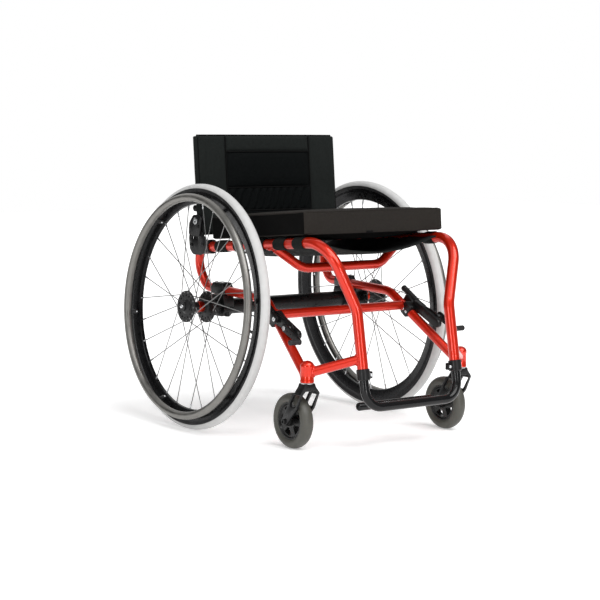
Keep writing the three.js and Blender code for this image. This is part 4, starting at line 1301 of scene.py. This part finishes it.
def back_binding(place):
    """The cords along the seams, the channels between the panels, the side seams and the top's hem."""
    seam_low, surface_shift = BACK_BOTTOM + 4, BACK_THICK + 1
    trims = []
    for k, x in enumerate((-SEAM_X, SEAM_X)):
        y = back_line(x) - surface_shift
        trims.append(cord_loop(f"back_seam{k}", [(x, y, seam_low), (x, y, BACK_TOP - 2)], 1.4, place, False))
    for k, z in enumerate((PANEL_TOP, PANEL_LOW, PLEAT_LOW)):
        columns = [SEAM_X * (t / 12 - 1) for t in range(25)]
        run = [(x, back_line(x) - surface_shift - 0.5, z) for x in columns]
        trims.append(cord_loop(f"back_channel{k}", run, 1.6, place, False))
    for k, x in enumerate((-BACK_HALF - 8, BACK_HALF + 8)):
        run = [(x, -9.9, seam_low), (x, -9.9, BACK_TOP - 4)]
        trims.append(cord_loop(f"back_side_seam{k}", run, 1.3, place, False))
    columns = [(BACK_HALF + 6) * (k / 30 - 1) for k in range(61)]
    hem = [(x, back_line(x) - 0.2, BACK_TOP + 0.6) for x in columns]
    trims.append(cord_loop("back_top_hem", hem, 2.4, place, False))
    place_piece(merge("back_binding", *trims), "back", "upholstery")


def back_cloth():
    """The back: sleeves over the posts, side panels, a top band, a padded panel and a pleated one."""
    place = back_place()
    body = back_mesh(place)
    inflate(body, back_held, 9.0, 3.2)
    relax(body, 3, lambda p: abs(p.x) > BACK_HALF - 13 or seam_gap(p.x, p.z) < 3)
    subdivide_once(body)
    displace(body, back_shape)
    body.data.materials.append(PANEL)
    for face in body.data.polygons:
        spot = face.center / MM
        if abs(spot.x) < SEAM_X and spot.z < PANEL_TOP and spot.y < back_line(spot.x):
            face.material_index = 1
    place_piece(body, "back", "upholstery", "back_upholstery")
    back_binding(place)


def back_frame():
    """The posts in the back's sleeves, each with the knuckle it folds on, and the bar across the rear."""
    place = back_place()
    knuckle = [(0, 2), (15, 2), (16, 3), (16, 8.4), (0, 8.4)]
    for name, side in SIDES.items():
        x = side * BACK_HALF
        post = rod(f"{name}_post", (x, 0, -13.6), (x, 0, BACK_HEIGHT - 2), 11, BLACK, 32, place, cap=2)
        foot = place @ Matrix.Translation((x * MM, 0, 0)) @ turn_axis((side, 0, 0))
        plate = lathe(f"{name}_post_knuckle", knuckle, BLACK, foot, 40)
        place_piece(merge(f"{name}_back_tube", post, plate), "back", "black_metal", f"{name}_back_post")
    bar = rod("rear_bar", (-206, 20, 32), (206, 20, 32), 8, BLACK, 32, place, cap=3)
    place_piece(bar, "back", "black_metal", "back_cross_bar")


def rounded(outline, radius, steps=5):
    """An outline with its corners rounded."""
    points = []
    count = len(outline)
    for i in range(count):
        before, corner, after = (Vector(outline[(i + d) % count]) for d in (-1, 0, 1))
        a, b = before - corner, after - corner
        reach = min(radius, a.length / 2.2, b.length / 2.2)
        start, end = corner + a.normalized() * reach, corner + b.normalized() * reach
        for k in range(steps + 1):
            t = k / steps
            points.append(tuple(start * (1 - t) ** 2 + corner * 2 * t * (1 - t) + end * t**2))
    return points


def back_brackets():
    pivot = [(0, 189.8), (4, 189.8), (4, 217.3), (7.4, 217.3), (8, 217.9), (8, 221.2), (7.2, 222)]
    pivot += [(3.6, 222), (3.6, 219.5), (0, 219.5)]
    for name, side in SIDES.items():
        parts = [*bracket_plates(name, side), *bracket_collars(name, side)]
        for k, (y, z) in enumerate(((50, 440), (100, 436), (66, 482))):
            head = (side * (213 if k < 2 else 216.8), y, z)
            parts.append(bolt(f"{name}_bracket_bolt{k}", head, (side, 0, 0), 4.2, 2.8, BLACK))
        place_piece(merge(f"{name}_back_plates", *parts), "chassis", "black_metal", f"{name}_back_bracket")
        hub_place = CHAIR @ Matrix.Translation(BACK_PIVOT * MM) @ turn_axis((side, 0, 0))
        pin = lathe(f"{name}_pivot", pivot, STEEL, hub_place, 32)
        place_piece(pin, "chassis", "bright_steel", f"{name}_back_pivot_bolt")


def bracket_plates(name, side):
    """The two plates that carry the fold-down back, with its catch slot, and the web behind them."""
    def plate(label, outline, radius, inner, thick, edge=0.0):
        start = inner if side > 0 else -inner - thick
        return prism(f"{name}_{label}", rounded(outline, radius), "X", start, thick, BLACK, edge=edge)

    lower = [(60, 470), (108, 470), (113, 452), (108, 424), (94, 412), (62, 412), (38, 420), (38, 452)]
    upper = [(60, 460), (52, 500), (62, 510), (88, 510), (106, 490), (108, 460)]
    slot = [(72, 449), (98, 449), (98, 457), (72, 457)]
    web = [(60, 470), (98, 462), (98, 432), (60, 432)]
    parts = [plate("low_plate", lower, 5, 208.9, 4), plate("high_plate", upper, 6, 213.1, 3.7)]
    for part in parts:
        cut_holes(part, [plate("slot", slot, 3.6, 200, 30)])
        bevel(part, 0.7)
    return [*parts, plate("web", web, 4, 203, 6, 0.8)]


def bracket_collars(name, side):
    """The collar round the seat rail's rear end and the socket on the side tube's upper end."""
    y = 51
    along = Vector((0, 1, -math.tan(SEAT_SLOPE))).normalized()
    rail = Matrix.Translation(Vector((side * RAIL_X, y, rail_z(y))) * MM)
    profile = [(12.8, -18), (16.8, -18), (17.5, -17.3), (17.5, -2), (17, -1.4)]
    profile += [(17, 1.4), (17.5, 2), (17.5, 17.3), (16.8, 18), (12.8, 18)]
    collar = lathe(f"{name}_rail_collar", profile, BLACK, CHAIR @ rail @ turn_axis(along), 48, ring=True)
    top, foot = Vector((side * 195, 85, 447)), Vector((side * 194.5, 91, 418))
    deep = (foot - top).length
    profile = [(0, 0), (14.4, 0), (15, 0.6), (15, deep - 0.6), (14.4, deep), (0, deep)]
    place = CHAIR @ Matrix.Translation(top * MM) @ turn_axis((foot - top).normalized())
    return [collar, lathe(f"{name}_socket", profile, BLACK, place, 40)]


# ------------------------------------------------------------------ wheel locks
LEVER = (-268, 287)
SHOE = (-318, 272)
SHOE_ROD = (-372, 246)
SHOE_TIP_X = 262
GRIP_FROM = (-243, 301.5)
GRIP_TO = (-190, 332)


def grooved(name, start, end, radius, material, rings):
    """A hand grip: a rod with rounded ends and rings moulded into it."""
    start, end = Vector(start), Vector(end)
    length = (end - start).length
    groove = radius - 0.9
    profile = [(0, 0), (radius - 1.6, 0), (radius, 1.6)]
    step = (length - 8) / rings
    for k in range(rings):
        x = 4 + step * k
        profile += [(radius, x + step * 0.2), (groove, x + step * 0.35)]
        profile += [(groove, x + step * 0.65), (radius, x + step * 0.8)]
    profile += [(radius, length - 2.4), (radius - 0.8, length - 0.8), (radius - 2.4, length), (0, length)]
    place = CHAIR @ Matrix.Translation(start * MM) @ turn_axis((end - start).normalized())
    return lathe(name, profile, material, place, 32)


def side_plate(label, side, outline, inner, outer, edge=0.9):
    """A flat part of a wheel lock, between two distances from the chair's middle."""
    start = side * inner if side > 0 else -outer
    return prism(label, outline, "X", start, outer - inner, BLACK, edge=edge)


def lock_clamp(name, side):
    """The block round the side tube and the flank that carries the lock, with their screws."""
    center = side_point(side, slant(-243))
    angle = math.atan2(SIDE_BEND.z - SIDE_FOOT.z, SIDE_BEND.y - SIDE_FOOT.y)
    turn = CHAIR @ Matrix.Translation(center * MM) @ Matrix.Rotation(angle, 4, "X")
    block = rounded([(-7.8, -13.3), (17.8, -13.3), (17.8, 19.3), (-7.8, 19.3)], 5)
    flank = rounded([(10, -12.8), (41.8, -12.8), (41.8, 20.8), (10, 20.8)], 5)
    parts = [
        prism(f"{name}_lock_block", block, "X", side - 13.3, 26.6, BLACK, turn, 1.2),
        prism(f"{name}_lock_flank", flank, "X", side * 10.2 - 4.1, 8.2, BLACK, turn, 1.2),
    ]
    for k, (inner, y, z) in enumerate(((0, 10, 15), (0, 32, 15), (1, -1.5, 1), (1, 11.5, 1))):
        out = -side if inner else side
        spot = (side * (-12.4 if inner else 14.4), y, z)
        metal = STEEL if inner else BLACK
        parts.append(bolt(f"{name}_lock_bolt{k}", spot, (out, 0, 0), 3.8, 2.6, metal, turn))
    return parts


def lock_body(name, side):
    """The fixed part: the clamp, the plate and housing above the side tube, and both pins."""
    parts = lock_clamp(name, side)
    for label, outline, inner, outer, edge in (
        ("plate", strap((-252, 289), SHOE, 12, 11), 216, 220, 0.9),
        ("housing", strap((-256, 293), (-334, 257), 12, 11), 205, 216.5, 2.2),
        ("bridge", strap((-246, 281), (-262, 284), 9, 9), 208, 217, 0.9),
    ):
        parts.append(side_plate(f"{name}_lock_{label}", side, outline, inner, outer, edge))
    for label, at, reach in (("lever", LEVER, 228), ("shoe", SHOE, 237)):
        parts.append(rod(f"{name}_{label}_pin", (side * 216, *at), (side * reach, *at), 3.9, STEEL, 24))
        parts.append(bolt(f"{name}_{label}_cap", (side * reach, *at), (side, 0, 0), 5.4, 2.4, STEEL))
    return merge(f"{name}_lock_body", *parts)


def wheel_locks():
    for name, side in SIDES.items():
        place_piece(lock_body(name, side), "chassis", "black_metal", f"{name}_lock_clamp")
        arm = side_plate(f"{name}_lever_arm", side, strap(LEVER, GRIP_FROM, 9, 6), 221.2, 226.8)
        grip_ends = [(side * 224, *GRIP_FROM), (side * 224, *GRIP_TO)]
        grip = grooved(f"{name}_grip", *grip_ends, 7.5, PLASTIC, 7)
        lever = merge(f"{name}_lever", arm, grip)
        place_piece(lever, f"{name}_brake_lever", "black_metal", f"{name}_lock_lever")
        shoe_arm = side_plate(f"{name}_shoe_arm", side, strap(SHOE, SHOE_ROD, 10, 7), 231.2, 235.8)
        rod_ends = [(side * 234, *SHOE_ROD), (side * SHOE_TIP_X, *SHOE_ROD)]
        shoe = grooved(f"{name}_shoe_rod", *rod_ends, 6.5, PLASTIC, 4)
        shoe = merge(f"{name}_shoe", shoe_arm, shoe)
        place_piece(shoe, f"{name}_brake_shoe", "black_metal", f"{name}_lock_shoe")


# ------------------------------------------------------------------ camera, light, floor
LENS = 103.46
SENSOR_WIDTH = 36
VIEW_FROM = Vector((-2537.7, -3445.9, 736.8))
VIEW_FORWARD = Vector((0.5968, 0.7958, -0.1025))
VIEW_RIGHT = Vector((0.8005, -0.5993, 0.0081))

# the distant lights: name, direction towards the light, power and how wide it is in degrees
LIGHTS = (
    ("key", (0.10, -0.75, 1.0), 2.75, 50),
    ("fill", (-0.9, -0.2, 0.9), 0.55, 60),
    ("back", (0.3, 0.9, 0.8), 0.7, 60),
    ("strip_left", (-0.92, -0.40, 0.10), 0.34, 13),
    ("strip_right", (-0.11, -0.99, 0.10), 0.38, 13),
    ("spark", (-0.85, -0.80, 0.9), 0.25, 8),
)
FLOOR_HALF = 9000


def camera():
    """The photographed view: low, from the chair's front right corner, through a long lens."""
    data = bpy.data.cameras.new("camera")
    data.lens = LENS
    data.sensor_width = SENSOR_WIDTH
    data.clip_end = 100
    cam = bpy.data.objects.new("camera", data)
    bpy.context.scene.collection.objects.link(cam)
    forward = VIEW_FORWARD.normalized()
    right = (VIEW_RIGHT - forward * VIEW_RIGHT.dot(forward)).normalized()
    up = right.cross(forward)
    turn = Matrix((right, up, -forward)).transposed().to_4x4()
    cam.matrix_world = CHAIR @ Matrix.Translation(VIEW_FROM * MM) @ turn
    bpy.context.scene.camera = cam


def studio():
    """White surroundings as seen, dimmer ones as reflected, six distant lights and a pale floor."""
    scene = bpy.context.scene
    scene.view_settings.view_transform = "Standard"
    world = bpy.data.worlds.new("studio")
    world.use_nodes = True
    tree = world.node_tree
    ray = tree.nodes.new("ShaderNodeLightPath").outputs["Is Camera Ray"]
    glow = node(tree, "ShaderNodeMapRange", {"Value": ray, "To Min": 0.15, "To Max": 1.0}).outputs["Result"]
    tree.links.new(glow, tree.nodes["Background"].inputs["Strength"])
    tree.nodes["Background"].inputs["Color"].default_value = (1, 1, 1, 1)
    scene.world = world
    for name, direction, power, width in LIGHTS:
        data = bpy.data.lights.new(name, "SUN")
        data.energy = power
        data.angle = math.radians(width)
        lamp = bpy.data.objects.new(name, data)
        scene.collection.objects.link(lamp)
        lamp.matrix_world = (-Vector(direction)).to_track_quat("-Z", "Y").to_matrix().to_4x4()
    corners = [(x * FLOOR_HALF, y * FLOOR_HALF, 0) for x, y in ((-1, -1), (1, -1), (1, 1), (-1, 1))]
    add("floor", corners, [(0, 1, 2, 3)], paper(), Matrix.Identity(4))


def paper():
    material, tree, shader, place = surface("studio_floor", Roughness=0.9)
    shader.inputs["Specular IOR Level"].default_value = 0.1
    tint(tree, shader, cloud(tree, place, 2), (0.93, 0.93, 0.93), (0.95, 0.95, 0.95))
    shader.inputs["Emission Color"].default_value = (1, 1, 1, 1)
    shader.inputs["Emission Strength"].default_value = 0.30
    return material


camera()
studio()
red_frame()
axle_tube()
for side_name, side_sign in SIDES.items():
    rear_wheel(side_name, side_sign)
    caster(side_name, side_sign)
footrest()
wheel_locks()
back_frame()
back_brackets()
back_cloth()
sling()
cushion()
